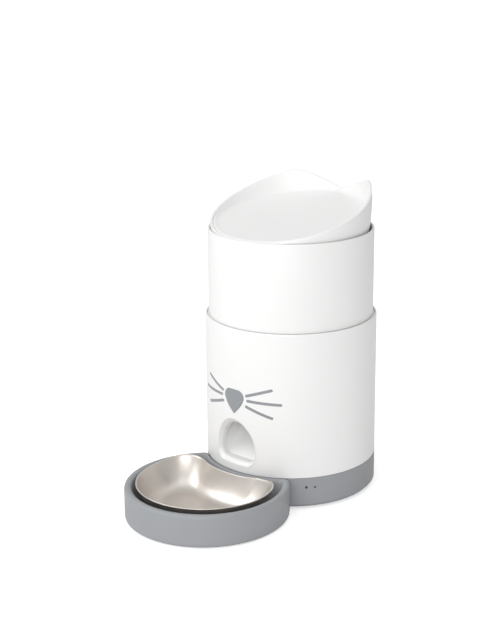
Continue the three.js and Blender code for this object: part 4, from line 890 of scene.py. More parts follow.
class Workshop:
    """Hands out one material for each finish, and sets finished pieces on their bodies."""

    def __init__(self) -> None:
        """Start with no material made."""
        self.made: dict[Slot, bpy.types.Material] = {}

    def finish(self, slot: Slot) -> bpy.types.Material:
        """Give a slot's material, and make it the first time.

        Args:
            slot: the record's material slot.

        Returns:
            The material.
        """
        if slot not in self.made:
            self.made[slot] = FINISHES[slot].dress()
        return self.made[slot]

    def fit(self, skin: Skin, name: str, slot: Slot, body: Body, *nodes: str, sharp: float = SHARP) -> None:
        """Make a piece, give it its finish and set it on its body.

        Args:
            skin: the piece's surfaces.
            name: its name.
            slot: its finish.
            body: the body that it rides on.
            nodes: the CAD nodes that it stands for.
            sharp: the angle past which its edges stay sharp.
        """
        thing = skin.make(name, sharp)
        thing.data.materials.append(self.finish(slot))
        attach(thing, body.value)
        if nodes:
            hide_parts(*nodes)
        REPORT.info("%s: %d faces, %s, rides on %s", name, len(thing.data.polygons), slot.value, body.value)

    def repaint(self, slot: Slot, *nodes: str) -> None:
        """Give CAD nodes that keep their shape a finish.

        Args:
            slot: the finish.
            nodes: the nodes' names.
        """
        for node in nodes:
            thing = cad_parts[node]
            thing.data.materials.clear()
            thing.data.materials.append(self.finish(slot))
            REPORT.info("%s: CAD node, %s", node, slot.value)

    def pad(self, node: str, body: Body) -> None:
        """Build a rubber foot or pad in place of its CAD node: a low turned piece with a soft lower edge.

        Args:
            node: the CAD node.
            body: the body that it rides on.
        """
        low, high = box_of(node)
        middle, radius = (low + high) / 2, (high[0] - low[0]) / 2
        profile = np.array([[radius - 1.4, low[2]], [radius - 0.5, low[2] + 0.15], [radius, low[2] + 0.8],
                            [radius, high[2]]])
        self.fit(Skin().loft(turned(profile, 96) + middle * (1, 1, 0)), f"{node}_rubber", Slot.RUBBER, body, node)


# The housing


def arch(half: Array, rise: Array, spring: float, bottom: Array, corner: Array) -> Array:
    """Draw arches with an elliptical head and rounded lower corners, all with the same points.

    The head is [half cos a, spring + rise sin a]. A side falls straight from the head to the corner, which is a
    quarter circle, and the sill is straight.

    Args:
        half: half the width of each arch.
        rise: the head's height over the spring line.
        spring: the spring line's height.
        bottom: the sill's height.
        corner: the corner's radius.

    Returns:
        A grid of [across, height], one row for each arch.
    """
    half, rise, bottom, corner = (np.atleast_1d(np.asarray(v, float))[:, None] for v in (half, rise, bottom, corner))
    head, quarter, run = np.linspace(0, math.pi, 72), np.linspace(0, math.pi / 2, 12), np.linspace(0, 1, 8)[1:-1]
    sill = np.linspace(-1, 1, 34)[1:-1]
    side = spring + (bottom + corner - spring) * run
    ones = np.ones_like(half)
    across = [
        half * np.cos(head),
        -half * np.ones_like(run),
        corner - half - corner * np.cos(quarter),
        (half - corner) * sill,
        half - corner + corner * np.sin(quarter),
        half * np.ones_like(run),
    ]
    height = [
        spring + rise * np.sin(head),
        side * ones,
        bottom + corner - corner * np.sin(quarter),
        bottom * np.ones_like(sill),
        bottom + corner - corner * np.cos(quarter),
        (side * ones)[:, ::-1],
    ]
    return np.stack([np.concatenate(across, 1), np.concatenate(height, 1)], -1)


@dataclass
class Housing:
    """The white body: its wall, the deck inside its top, the outlet with its chute, and the face."""

    workshop: Workshop
    radius: float = HOUSE_HIGH[0]
    bottom: float = HOUSE_LOW[2]
    top: float = HOUSE_HIGH[2]
    wall: float = 2.2
    lip: float = 1.7
    line: float = 0.13
    outlet_half: float = 28.2
    outlet_rise: float = 36.8
    outlet_bottom: float = 45.5
    outlet_corner: float = 12.0
    mouth_half: float = 24.9
    mouth_rise: float = 31.5
    mouth_bottom: float = 50.0
    mouth_corner: float = 9.0
    spring: float = 62.0
    bevel: float = 4.6
    tunnel: float = 13.0
    duct_wall: float = 1.8
    nose_half: float = 18.0
    nose_top: float = 133.6
    nose_tip: float = 105.6
    nose_crown: float = 0.3
    nose_bulge: float = 2.9
    nose_widest: float = 0.44
    nose_round: float = 8.0
    nose_point: float = 0.8
    nose_proud: float = 0.2
    nose_gap: float = 0.28
    nose_broad: float = 4.2
    whisker_width: float = 3.3

    def on_skin(self, flat: Array, depth: Array) -> Array:
        """Lay [across, height] points on the body's skin, at a depth behind it: y = depth - sqrt(R^2 - x^2)."""
        across, height = flat[..., 0], flat[..., 1]
        return np.stack([across, depth - np.sqrt(self.radius**2 - across**2), height], -1)

    def unrolled(self, flat: Array) -> Array:
        """Unroll [across, height] points drawn from the front: along = R asin(across / R)."""
        return np.stack([self.radius * np.arcsin(flat[:, 0] / self.radius), flat[:, 1]], -1)

    def nose_outline(self) -> Array:
        """Draw the nose: a triangle on its tip, with bulging sides, broad round shoulders and a crowned top."""
        shoulder = self.nose_top - self.nose_crown
        side = np.array([self.nose_half, shoulder - self.nose_tip])
        out = np.array([side[1], -side[0]]) * (self.nose_bulge / np.linalg.norm(side))
        swell = side * self.nose_widest + out
        corners = [
            [-self.nose_half, shoulder], [-swell[0], self.nose_tip + swell[1]], [0, self.nose_tip],
            [swell[0], self.nose_tip + swell[1]], [self.nose_half, shoulder], [0, self.nose_top],
        ]
        broad = self.nose_round * self.nose_broad
        radii = [self.nose_round, broad, self.nose_point, broad, self.nose_round, broad * 2]
        return spaced(rounded(np.array(corners), np.array(radii), 12), 160)

    def shell(self) -> None:
        """Build the wall with the nose and outlet openings."""
        inner = self.radius - self.wall
        outlet = arch(self.outlet_half, self.outlet_rise, self.spring, self.outlet_bottom, self.outlet_corner)[0]
        between = (self.nose_tip + self.outlet_rise + self.spring) / 2
        spans = [
            np.linspace(self.bottom + 0.3, self.outlet_bottom - 2.5, 5),
            np.linspace(self.outlet_bottom - 1.5, between, 35),
            np.linspace(between, self.nose_top + 3, 25)[1:],
            np.linspace(self.nose_top + 12, self.top - self.lip - 0.2, 6),
        ]
        lip = softened(
            [[self.radius, self.top - 9], [self.radius, self.top], [inner, self.top], [inner, self.top - 9]],
            [0, self.lip, 0.4, 0], 6,
        )
        foot = np.array([[inner, self.bottom], [self.radius - 0.3, self.bottom]])
        wall = TurnedWall(
            outer=self.radius,
            inner=inner,
            heights=np.concatenate(spans),
            top=lip[1:-1],
            bottom=foot,
            holes=(DrawnHole(self.unrolled(outlet), self.line),
                   DrawnHole(self.unrolled(self.nose_outline()), self.nose_gap)),
        )
        self.workshop.fit(wall.build(Skin()), "body_wall", Slot.WHITE, Body.HOUSING, "outer_shell")

    def bezel(self) -> None:
        """Build the outlet's bevelled arch with the start of its tunnel.

        Its section is drawn with the share of the way from the outer arch to the mouth, and the depth behind the
        skin. Past the bevel the tunnel's rings go over to one flat plane.
        """
        section = softened(
            [[0, 6.5], [0, -0.02], [0.1, -0.02], [1, self.bevel], [1, self.tunnel], [0.5, self.tunnel], [0.5, 6.5]],
            [0, 0.2, 0.35, 1.6, 0, 0, 0], 7,
        )
        share, depth = section[:, 0], section[:, 1]

        def ease(start: float, end: float) -> Array:
            """Go from one size to the other by the section's share."""
            return start + (end - start) * share

        outlines = arch(
            ease(self.outlet_half - self.line, self.mouth_half),
            ease(self.outlet_rise - self.line, self.mouth_rise),
            self.spring,
            ease(self.outlet_bottom + self.line, self.mouth_bottom),
            ease(self.outlet_corner - self.line, self.mouth_corner),
        )
        rings = self.on_skin(outlines, depth[:, None])
        flat = np.clip((depth - self.bevel) / (self.tunnel - self.bevel), 0, 1)[:, None]
        rings[..., 1] += (self.tunnel - self.radius - rings[..., 1]) * flat
        self.workshop.fit(Skin().loft(rings, joined=True), "outlet_arch", Slot.WHITE, Body.HOUSING, "outlet_bezel",
                          sharp=50)

    def chute(self) -> None:
        """Build the duct behind the outlet, from the port under the cup down to the tunnel.

        Each ring is spanned between a lower and an upper rail. It starts with the mouth's arch, and goes over to a
        box with rounded corners.
        """
        low, high = box_of("food_chute")
        thin = self.duct_wall
        lower = flowing([[low[1], self.mouth_bottom], [-60, 70], [-30, 99], [-22.4, 112], [-22.4, high[2]]], 8)
        upper = flowing([[low[1], 93.5], [-70, 102], [-52, 114], [-44, 122], [-44, high[2]]], 8)
        way = np.linspace(0, 1, len(lower))
        head = 0.72 - 0.6 * way
        round_share = 0.2 - 0.1 * way
        base = arch(np.ones_like(way), head, 0.0, head - 1, round_share)
        rise = (base[..., 1] + 1 - head[:, None]).clip(0, 1)
        half = self.mouth_half + (high[0] - thin - self.mouth_half) * np.minimum(way * 3, 1)

        def rings(grow: float) -> Array:
            """Span the rings.

            Args:
                grow: how much wider they are all round than the duct's inside.

            Returns:
                A grid of rings from the mouth to the port.
            """
            stretch = 1 + grow * 2 / np.linalg.norm(upper - lower, axis=1)[:, None]
            middle = (upper + lower) / 2
            start = middle + (lower - middle) * stretch
            end = middle + (upper - middle) * stretch
            across = base[..., 0] * (half[:, None] + grow)
            up = start[:, None] + (end - start)[:, None] * rise[..., None]
            return np.concatenate([across[..., None], up], -1)

        whole = np.concatenate([rings(0.0), rings(thin)[::-1]])
        self.workshop.fit(Skin().loft(whole, joined=True), "outlet_duct", Slot.WHITE, Body.HOUSING, "food_chute")

    def nose(self) -> None:
        """Build the nose button: a cap that follows the body's skin, on a wider flange behind the wall."""
        outline = self.nose_outline()
        middle = np.array([0, outline[:, 1].mean()])
        arm = outline - middle
        reach = np.hypot(*arm.T)[:, None]

        def ring(margin: float, depth: float, share: float = 1.0) -> Array:
            """Draw the outline, moved out by a margin and drawn in by a share, at a depth."""
            return self.on_skin(middle + arm * ((reach + margin) / reach) * share, np.full(len(arm), depth))

        proud, wall = -self.nose_proud, self.wall + 0.3
        rings = [ring(-0.7, proud, share) for share in (0.15, 0.35, 0.55, 0.72, 0.86, 0.95, 1.0)]
        rings += [ring(-0.3, proud + 0.06), ring(-0.08, proud + 0.25), ring(0, proud + 0.6), ring(0, wall)]
        rings += [ring(2, wall), ring(2, wall + 1.8)]
        self.workshop.fit(Skin().loft(np.stack(rings)), "nose_cap", Slot.LIGHT_GREY, Body.NOSE, "nose_button")

    def whiskers(self) -> None:
        """Build the six whisker inlays, a hair proud of the skin.

        A bar is drawn flat from its near end to its far end, w = 0.5 width (1 - (2|s| - 1)^8 where s runs along),
        and then laid on the skin.
        """
        ends = {
            "upper": ((17.6, 129.4), (45.4, 139.3)),
            "middle": ((19.2, 123.8), (54.2, 123.1)),
            "lower": ((17.4, 116.8), (45.8, 107.2)),
        }
        for place, (near, far) in ends.items():
            for side, word in ((-1, "left"), (1, "right")):
                start, end = np.array([near[0] * side, near[1]]), np.array([far[0] * side, far[1]])
                along = (end - start) / np.linalg.norm(end - start)
                reach, half = np.linalg.norm(end - start) / 2 + self.whisker_width / 2, self.whisker_width / 2
                box = [[-reach, -half], [reach, -half], [reach, half], [-reach, half]]
                outline = spaced(softened(box, half * 0.72, 8), 120)
                shares = np.array([0.02, 0.5, 0.9, 0.97, 1, 1])
                squeeze = np.stack([1 - (1 - shares) * half / reach, shares], -1)
                squeeze[0, 0] = 0.98 - half / reach
                flat = outline[None] * squeeze[:, None]
                turn = np.stack([along, [-along[1], along[0]]])
                depth = np.array([-0.16, -0.16, -0.15, -0.1, 0.0, 0.8])
                rings = self.on_skin((start + end) / 2 + flat @ turn, depth[:, None])
                name = f"whisker_{place}_{word}"
                self.workshop.fit(Skin().loft(rings), f"inlay_{place}_{word}", Slot.LIGHT_GREY, Body.HOUSING, name)

    def build(self) -> None:
        """Build every piece of the white body."""
        self.shell()
        self.bezel()
        self.chute()
        self.nose()
        self.whiskers()


@dataclass
class Deck:
    """The white ring inside the body's top, with its recess and the ribbed sleeve that takes the neck."""

    workshop: Workshop
    top: float = box_of("top_deck")[1][2]
    radius: float = box_of("top_deck")[1][0]
    ledge: float = box_of("top_deck")[0][2]
    recess: float = 84.0
    depth: float = 16.0
    start: float = -128.0
    end: float = 76.0
    sleeve: float = 59.25
    socket: float = 55.05
    hole: float = 46.2
    drop: float = 4.5
    plate: float = 2.5
    key_half: float = 8.0
    key_depth: float = 2.15
    ribs: int = 9
    rib_start: float = -119.6
    rib_step: float = 21.2
    rib_half: float = 1.0
    rib_reach: float = 3.1

    def build(self) -> None:
        """Build the deck from two sections, one with the recess and one without, mixed by the angle."""
        top, low, floor = self.top, self.ledge, self.top - self.depth
        flare = self.socket + 2.9
        inside = [[self.socket, low + self.plate], [self.hole, low + self.plate], [self.hole, low], [self.sleeve, low]]
        under = [
            [self.radius - 2.2, top - self.plate], [self.radius - 2.2, top - 6], [self.radius, top - 6],
            [self.radius, top - 0.4], [self.radius - 0.4, top],
        ]
        plain = [[self.recess + 0.5, top], [self.recess, top], [self.recess - 0.1, top], [self.recess - 0.8, top],
                 [self.sleeve + 0.8, top], [self.sleeve, top], [self.sleeve, top], [flare + 0.3, top],
                 [flare, top - 0.1], [self.socket, top - 4.8], *inside, [self.sleeve, top - self.plate],
                 [self.recess + 2, top - self.plate], [self.recess + 2, top - self.plate], *under]
        sunk = [[self.recess + 0.5, top], [self.recess, top - 0.5], [self.recess, floor + 0.8],
                [self.recess - 0.8, floor], [self.sleeve + 0.8, floor], [self.sleeve, floor + 0.8],
                [self.sleeve, top - self.drop - 0.3], [self.sleeve - 0.4, top - self.drop],
                [self.socket + 0.3, top - self.drop], [self.socket, top - self.drop - 0.3], *inside,
                [self.sleeve, floor - 2], [self.recess + 2, floor - 2], [self.recess + 2, top - self.plate], *under]
        angles = np.arange(-180, 180, 1.0)
        walls = np.array([self.start - 0.4, self.start + 0.4, self.end - 0.4, self.end + 0.4])
        keys = np.array([81.6, 82.2, 97.8, 98.4])
        angles = np.sort(np.concatenate([angles, walls, keys, keys - 180]))
        share = ((angles > self.start) & (angles < self.end)).astype(float)[None, :, None]
        section = np.array(plain)[:, None] * (1 - share) + np.array(sunk)[:, None] * share
        section[8:11, :, 0] += self.key_depth * (np.abs(np.abs(angles) - 90) < self.key_half)
        rings = on_axis(section[..., 0], angles[None], section[..., 1])
        skin = Skin().loft(rings, joined=True)
        half, reach = self.rib_half, self.rib_reach
        box = softened([[-half, 0], [half, 0], [half, reach], [-half, reach]], 0.6, 3)
        rib = raised(box, [floor - 0.4, top - 7.3, top - 6.6], [0, 0, 0.5])
        for i in range(self.ribs):
            skin.loft(turned_by(rib, self.rib_start + i * self.rib_step, self.sleeve - 0.6))
        self.workshop.fit(skin, "deck_ring", Slot.WHITE, Body.HOUSING, "top_deck")


def turned_by(block: Array, degrees: float, radius: float) -> Array:
    """Carry a block drawn at the origin out to a radius and round to an angle.

    Args:
        block: points whose y runs outwards and whose x runs across.
        degrees: the angle from the front.
        radius: how far out its origin goes.

    Returns:
        The moved points.
    """
    angle = math.radians(degrees)
    outwards = np.array([math.sin(angle), -math.cos(angle), 0])
    across = np.array([math.cos(angle), math.sin(angle), 0])
    spot = outwards * (block[..., 1:2] + radius) + across * block[..., 0:1]
    return spot + np.array([0, 0, 1.0]) * block[..., 2:3]


# The base


@dataclass
class Base:
    """The grey base: its outer band with the ports, its feet, the light and the reset pin."""

    workshop: Workshop
    radius: float = box_of("base_tub")[1][0]
    low: float = box_of("base_tub")[0][2]
    seam: float = 37.0
    edge: float = 3.0
    skin: float = 0.03
    slot_half: float = 28.3
    slot_low: float = 6.7
    slot_high: float = 13.3
    light: tuple[float, float, float] = (50.7, 26.0, 1.5)
    reset: tuple[float, float, float] = (56.6, 25.5, 1.1)
    light_gap: float = 0.12
    light_length: float = 8.4
    pin_gap: float = 0.15
    pin_length: float = 6.9
    pin_sunk: float = 0.4
    inlet_level: float = 16.0
    inlet_half: tuple[float, float] = (4.9, 2.1)
    inlet_corner: float = 1.4
    band_wall: float = 2.0

    def along(self, degrees: float) -> float:
        """Turn an angle into a distance along the skin."""
        return math.radians(degrees) * self.radius

    def band(self) -> None:
        """Build the band round the base, with holes for the dock, the light, the reset pin and the power plug."""
        outer = self.radius + self.skin
        spans = [
            np.linspace(self.low + self.edge + 0.4, 12.0, 5),
            np.linspace(13.4, self.seam - 2.4, 15),
            [self.seam - 0.6],
        ]
        heights = np.concatenate(spans)
        top = softened(
            [[outer, self.seam - 0.6], [outer, self.seam + 0.04], [self.radius - self.band_wall, self.seam + 0.04],
             [self.radius - self.band_wall, self.seam - 0.6]],
            [0, 0.3, 0, 0], 4,
        )
        foot = softened(
            [[self.radius - self.band_wall, self.low + self.edge + 0.4], [self.radius - 4.5, self.low + 0.6],
             [self.radius - 4.5, self.low - 0.03], [self.radius - self.edge, self.low - 0.03],
             [outer, self.low + self.edge + 0.4]],
            [0, 0.2, 0.2, 2.6, 0], 6,
        )
        middle, half = (self.slot_low + self.slot_high) / 2, (self.slot_high - self.slot_low) / 2
        holes = [RoundedHole((0.0, middle), (self.slot_half, half), 0.8)]
        for (degrees, height, size), gap in ((self.light, self.light_gap), (self.reset, self.pin_gap)):
            holes.append(RoundedHole((self.along(degrees), height), (size + gap, size + gap), size + gap))
        holes.append(RoundedHole((self.along(180), self.inlet_level), self.inlet_half, self.inlet_corner))
        wall = TurnedWall(outer, self.radius - self.band_wall, heights, top[1:-1], foot[1:-1], tuple(holes),
                          rings=4, bevel=0.2)
        self.workshop.fit(wall.build(Skin()), "base_band", Slot.GREY, Body.HOUSING)

    def dot(self, node: str, name: str, slot: Slot, spot: tuple[float, float, float], body: Body, dome: float) -> None:
        """Build a small round piece that looks out of the band.

        Args:
            node: the CAD node that it stands for.
            name: the piece's name.
            slot: its finish.
            spot: its angle, height and radius.
            body: the body that it rides on.
            dome: how far its middle stands out beyond its rim.
        """
        degrees, height, size = spot
        outer = self.radius - (self.pin_sunk if body is Body.RESET else 0.0)
        inner = outer - (self.pin_length if body is Body.RESET else self.light_length)
        turn = np.linspace(0, 2 * math.pi, 48, endpoint=False)
        shares = np.array([0.25, 0.5, 0.75, 0.9, 1.0, 1.0])
        depth = np.append(outer - dome * np.array([0, 0.2, 0.5, 0.9, 1.5]), inner)
        across = size * shares[:, None] * np.cos(turn)
        rings = np.stack([across, np.broadcast_to(depth[:, None], across.shape),
                          height + size * shares[:, None] * np.sin(turn)], -1)
        self.workshop.fit(Skin().loft(turned_by(rings, degrees, 0.0)), name, slot, body, node)

    def build(self) -> None:
        """Build every piece of the base, and dress the CAD nodes that show through its ports."""
        self.band()
        for place in ("front_right", "rear_right", "rear_left", "front_left"):
            self.workshop.pad(f"foot_{place}", Body.HOUSING)
        self.dot("status_light", "light_window", Slot.LENS, self.light, Body.HOUSING, 0.25)
        self.dot("reset_button", "reset_pin", Slot.RUBBER, self.reset, Body.RESET, 0.1)
        self.workshop.repaint(Slot.GREY, "base_tub", "battery_door")
        self.workshop.repaint(Slot.METAL, "power_inlet", *(f"base_screw_{i}" for i in (1, 2, 3, 4)))


# The hopper with its neck


@dataclass
class Hopper:
    """The white hopper: its wall with the inner funnel and lid ledges, the neck's collar, and the drive's dressing."""

    workshop: Workshop
    seat: float = box_of("hopper_shell")[1][2] - 99.0
    radius: float = box_of("hopper_shell")[1][0]
    height: float = 99.0
    wall: float = 2.5
    funnel: float = 36.0
    throat: float = 48.6
    throat_wall: float = 2.2
    length: float = 32.0
    flare: float = 60.0
    ledge_reach: float = 5.0
    ledge_drop: float = 7.3
    collar: float = 54.0
    band: float = 54.6
    collar_length: float = 57.0
    slot_top: float = 11.6
    slot_foot: float = 19.0
    slot_lean: float = 10.0
    slot_half: float = 4.0

    def shell(self) -> None:
        """Build the wall, funnel and throat from one turned section, with its ledges and bayonet lugs."""
        inner, pipe = self.radius - self.wall, self.throat + self.throat_wall
        profile = softened(
            [[self.radius, 0], [self.radius, self.height], [inner, self.height], [inner, self.funnel],
             [self.throat, 3], [self.throat, -self.length], [pipe, -self.length], [pipe, -4.7],
             [self.band, -4.7], [self.flare, 4], [inner, self.funnel - 4], [inner, 0]],
            [0.9, 1.2, 0.8, 9, 6, 0.5, 0.5, 0.2, 0.6, 1.0, 4, 0.5], 7,
        )
        skin = Skin().loft(turned(profile, 320) + (0, 0, self.seat), joined=True)
        top = self.seat + self.height - self.ledge_drop
        skin.bosses(range(-66, 294, 90), inner - self.ledge_reach, inner + 0.8, 7, top - 3, top, 1.2)
        skin.bosses(range(4, 364, 120), pipe - 0.6, self.collar - 0.3, 2.0, self.seat - 18.0, self.seat - 12.6, 0.8)
        self.workshop.fit(skin, "hopper_wall", Slot.WHITE, Body.HOPPER, "hopper_shell")

    def neck(self) -> None:
        """Build the collar with its three slanting bayonet slots and two outside lugs."""
        inner = self.throat + self.throat_wall + 0.3
        seat, bottom = self.seat, self.seat - self.collar_length
        slots = []
        for i in range(3):
            middle = math.radians(120 * i - 1) * self.band
            lean, half = math.radians(self.slot_lean) * self.band, math.radians(self.slot_half) * self.band
            corners = [[middle - half, seat - self.slot_top], [middle + half, seat - self.slot_top],
                       [middle + half + lean, seat - self.slot_foot], [middle - half + lean, seat - self.slot_foot]]
            slots.append(DrawnHole(spaced(softened(corners, 0.9, 5), 96), 0.0))
        top = softened(
            [[self.band, seat - 6.0], [self.band, seat - 5.0], [inner, seat - 5.0], [inner, seat - 6.0]],
            [0, 0.4, 0.3, 0], 4,
        )
        foot = softened(
            [[inner, bottom + 2], [45.3, bottom + 2], [45.3, bottom], [self.collar - 3, bottom],
             [self.collar, bottom + 3], [self.collar, seat - 20.8], [self.band, seat - 20.2]],
            [0, 0.3, 0.3, 0.8, 0.8, 0.2, 0.2], 4,
        )
        wall = TurnedWall(self.band, inner, np.linspace(seat - 20.0, seat - 6.0, 19), top[1:-1], foot,
                          tuple(slots), columns=360, start=-60.5, rings=4, bevel=0.2)
        skin = wall.build(Skin())
        skin.bosses((90, 270), self.collar - 0.6, self.collar + 2.6, 6, bottom + 3.6, bottom + 10.6, 1.0)
        self.workshop.fit(skin, "neck_sleeve", Slot.WHITE, Body.HOPPER, "neck_collar")

    def build(self) -> None:
        """Build the hopper's pieces, and dress the dispensing drive."""
        self.shell()
        self.neck()
        self.workshop.repaint(Slot.WHITE, "rotor_cup", "scraper_plate")
        self.workshop.repaint(Slot.SILICONE, "feed_rotor")
        self.workshop.repaint(Slot.ACETAL, "agitator")


# The lid


@dataclass
class Lid:
    """The white lid with its two swept ears, and the grey locking ring under its edge."""

    workshop: Workshop
    seat: float = box_of("lid_shell")[0][2]
    radius: float = box_of("lid_shell")[1][0]
    edge: float = 87.0
    edge_width: float = 2.8
    centre_rise: float = 20.0
    slope: float = 0.155
    plate: float = 2.5
    lip: float = 0.6
    floor: float = 78.0
    ear_rise: float = 25.6
    ear_start: float = 23.0
    ear_peak: float = 143.0
    ear_valley: float = 2.7
    ear_up: float = 1.73
    ear_down: float = 0.95
    ear_soft: float = 4.0
    ring: float = 85.6
    ring_height: float = 5.5

    def ear(self, degrees: Array) -> Array:
        """Work out the ears' height over the lid's floor.

        It rises as a power of the way from the start to the peak, falls as another power of the way from the peak to
        the back, and the lower of the two counts, with a soft turn where they meet.

        Args:
            degrees: angles from the front.

        Returns:
            The height at each angle.
        """
        side = np.abs((degrees + 180) % TURN - 180)
        up = self.ear_rise * np.clip((side - self.ear_start) / (self.ear_peak - self.ear_start), 0, 2) ** self.ear_up
        fall = np.clip((side - self.ear_peak) / (180 - self.ear_peak), -0.6, 1)
        down = self.ear_rise - (self.ear_rise - self.ear_valley) * np.sign(fall) * np.abs(fall) ** self.ear_down
        soft = self.ear_soft
        return np.maximum(0, -soft * np.log(np.exp(-up / soft) + np.exp(-down / soft)))

    def shell(self) -> None:
        """Build the lid from stations that run from its underside, over the rim and down to its floor."""
        degrees = np.arange(320) * (TURN / 320) - 180
        crest = self.radius - 2
        ear = self.ear(degrees)
        rim_y = -crest * np.cos(np.radians(degrees))
        rim = self.centre_rise + self.slope * rim_y + self.lip + ear

        def floor(radius: float) -> Array:
            """Work out the sloping floor's height at a radius."""
            return self.centre_rise - self.slope * radius * np.cos(np.radians(degrees))

        skirt = self.edge - self.edge_width
        zero = np.zeros_like(degrees)
        under = [
            (20.0, floor(20) - self.plate), (50.0, floor(50) - self.plate), (70.0, floor(70) - self.plate),
            (skirt - 2, floor(skirt - 2) - self.plate), (skirt, np.maximum(floor(skirt) - self.plate - 3, 1.5)),
            (skirt, zero + 0.3), (skirt + 0.3, zero), (self.edge - 0.5, zero),
        ]
        outer = [
            (self.edge, zero + 0.5), (self.edge + 1.6, rim * 0.2), (self.radius - 0.75, rim * 0.45),
            (self.radius, rim * 0.72), (self.radius - 0.15, rim * 0.5 + (rim - 2.6) * 0.5 + 0.6),
            (self.radius - 0.75, rim - 0.85), (crest + 0.3, rim - 0.1), (crest - 0.9, rim - 0.25),
            (crest - 2.0, rim - 1.0 - ear * 0.13), (crest - 3.6, floor(crest - 3.6) + self.lip * 0.35 + ear * 0.52),
            (crest - 5.4, floor(crest - 5.4) + 0.12 + ear * 0.24), (crest - 7.6, floor(crest - 7.6) + ear * 0.07),
            (self.floor, floor(self.floor)), (self.floor - 5, floor(self.floor - 5)),
        ]
        inner = [(radius, floor(radius)) for radius in (60.0, 40.0, 20.0)]

        def rows(stations: list[tuple[float, Array]]) -> Array:
            """Turn stations with one radius each into a grid of [radius, height]."""
            return np.stack([np.stack([np.full(len(degrees), radius), height], -1) for radius, height in stations])

        whole = np.concatenate([rows(under), flowing(rows(outer), 5), rows(inner)])
        rings = on_axis(whole[..., 0], degrees[None], whole[..., 1] + self.seat)
        self.workshop.fit(Skin().loft(rings), "lid_cover", Slot.WHITE, Body.LID, "lid_shell", sharp=50)

    def lock_ring(self) -> None:
        """Build the locking ring with its four lugs."""
        seat, skirt = self.seat, self.edge - self.edge_width - 0.3
        low = seat - self.ring_height
        profile = softened(
            [[self.ring - 4.8, low], [self.ring, low], [self.ring, seat - 0.3], [skirt, seat - 0.3],
             [skirt, seat + 1.6], [self.ring - 4.8, seat + 1.6]],
            [0.6, 0.9, 0.3, 0.1, 0.3, 0.5], 5,
        )
        skin = Skin().loft(turned(profile, 256), joined=True)
        skin.bosses(range(5, 365, 90), self.ring - 0.6, self.ring + 3.4, 8, low, low + 2.6, 0.9)
        self.workshop.fit(skin, "lock_ring", Slot.GREY, Body.LID, "lid_ring")

    def build(self) -> None:
        """Build the lid's two pieces."""
        self.shell()
        self.lock_ring()


# The tray and its bowl


def bitten(radius: Array, bite: Array, corner: Array, distance: float) -> Array:
    """Draw rounds that the body's wall bites into, with rounded corners, all with the same points.

    A corner's circle touches the round from inside and the bite's arc from outside, so its middle lies at
    radius - corner from the round's centre and bite + corner from the body's axis.

    Args:
        radius: radii about the round's centre.
        bite: radii of the arc about the body's axis.
        corner: radii of the corners.
        distance: how far the body's axis lies behind the round's centre.

    Returns:
        A grid of [x, y], one row for each radius, with the origin at the round's centre.
    """
    radius, bite, corner = (np.atleast_1d(np.asarray(v, float))[:, None] for v in (radius, bite, corner))
    y = ((radius - corner) ** 2 - (bite + corner) ** 2 + distance**2) / (2 * distance)
    x = np.sqrt((radius - corner) ** 2 - y**2)
    lean, back = np.arctan2(y, x), np.arctan2(distance - y, x)
    front = lean - (math.pi + 2 * lean) * np.linspace(0, 1, 140)
    side = np.linspace(0, 1, 16)[1:-1]
    left = math.pi - lean - (math.pi - lean - back) * side
    rear = math.pi + back + (math.pi - 2 * back) * np.linspace(0, 1, 60)
    right = back + (lean - back) * side
    outline_x = [radius * np.cos(front), corner * np.cos(left) - x, bite * np.cos(rear), x + corner * np.cos(right)]
    outline_y = [
        radius * np.sin(front), y + corner * np.sin(left), distance + bite * np.sin(rear), y + corner * np.sin(right),
    ]
    return np.stack([np.concatenate(outline_x, 1), np.concatenate(outline_y, 1)], -1)


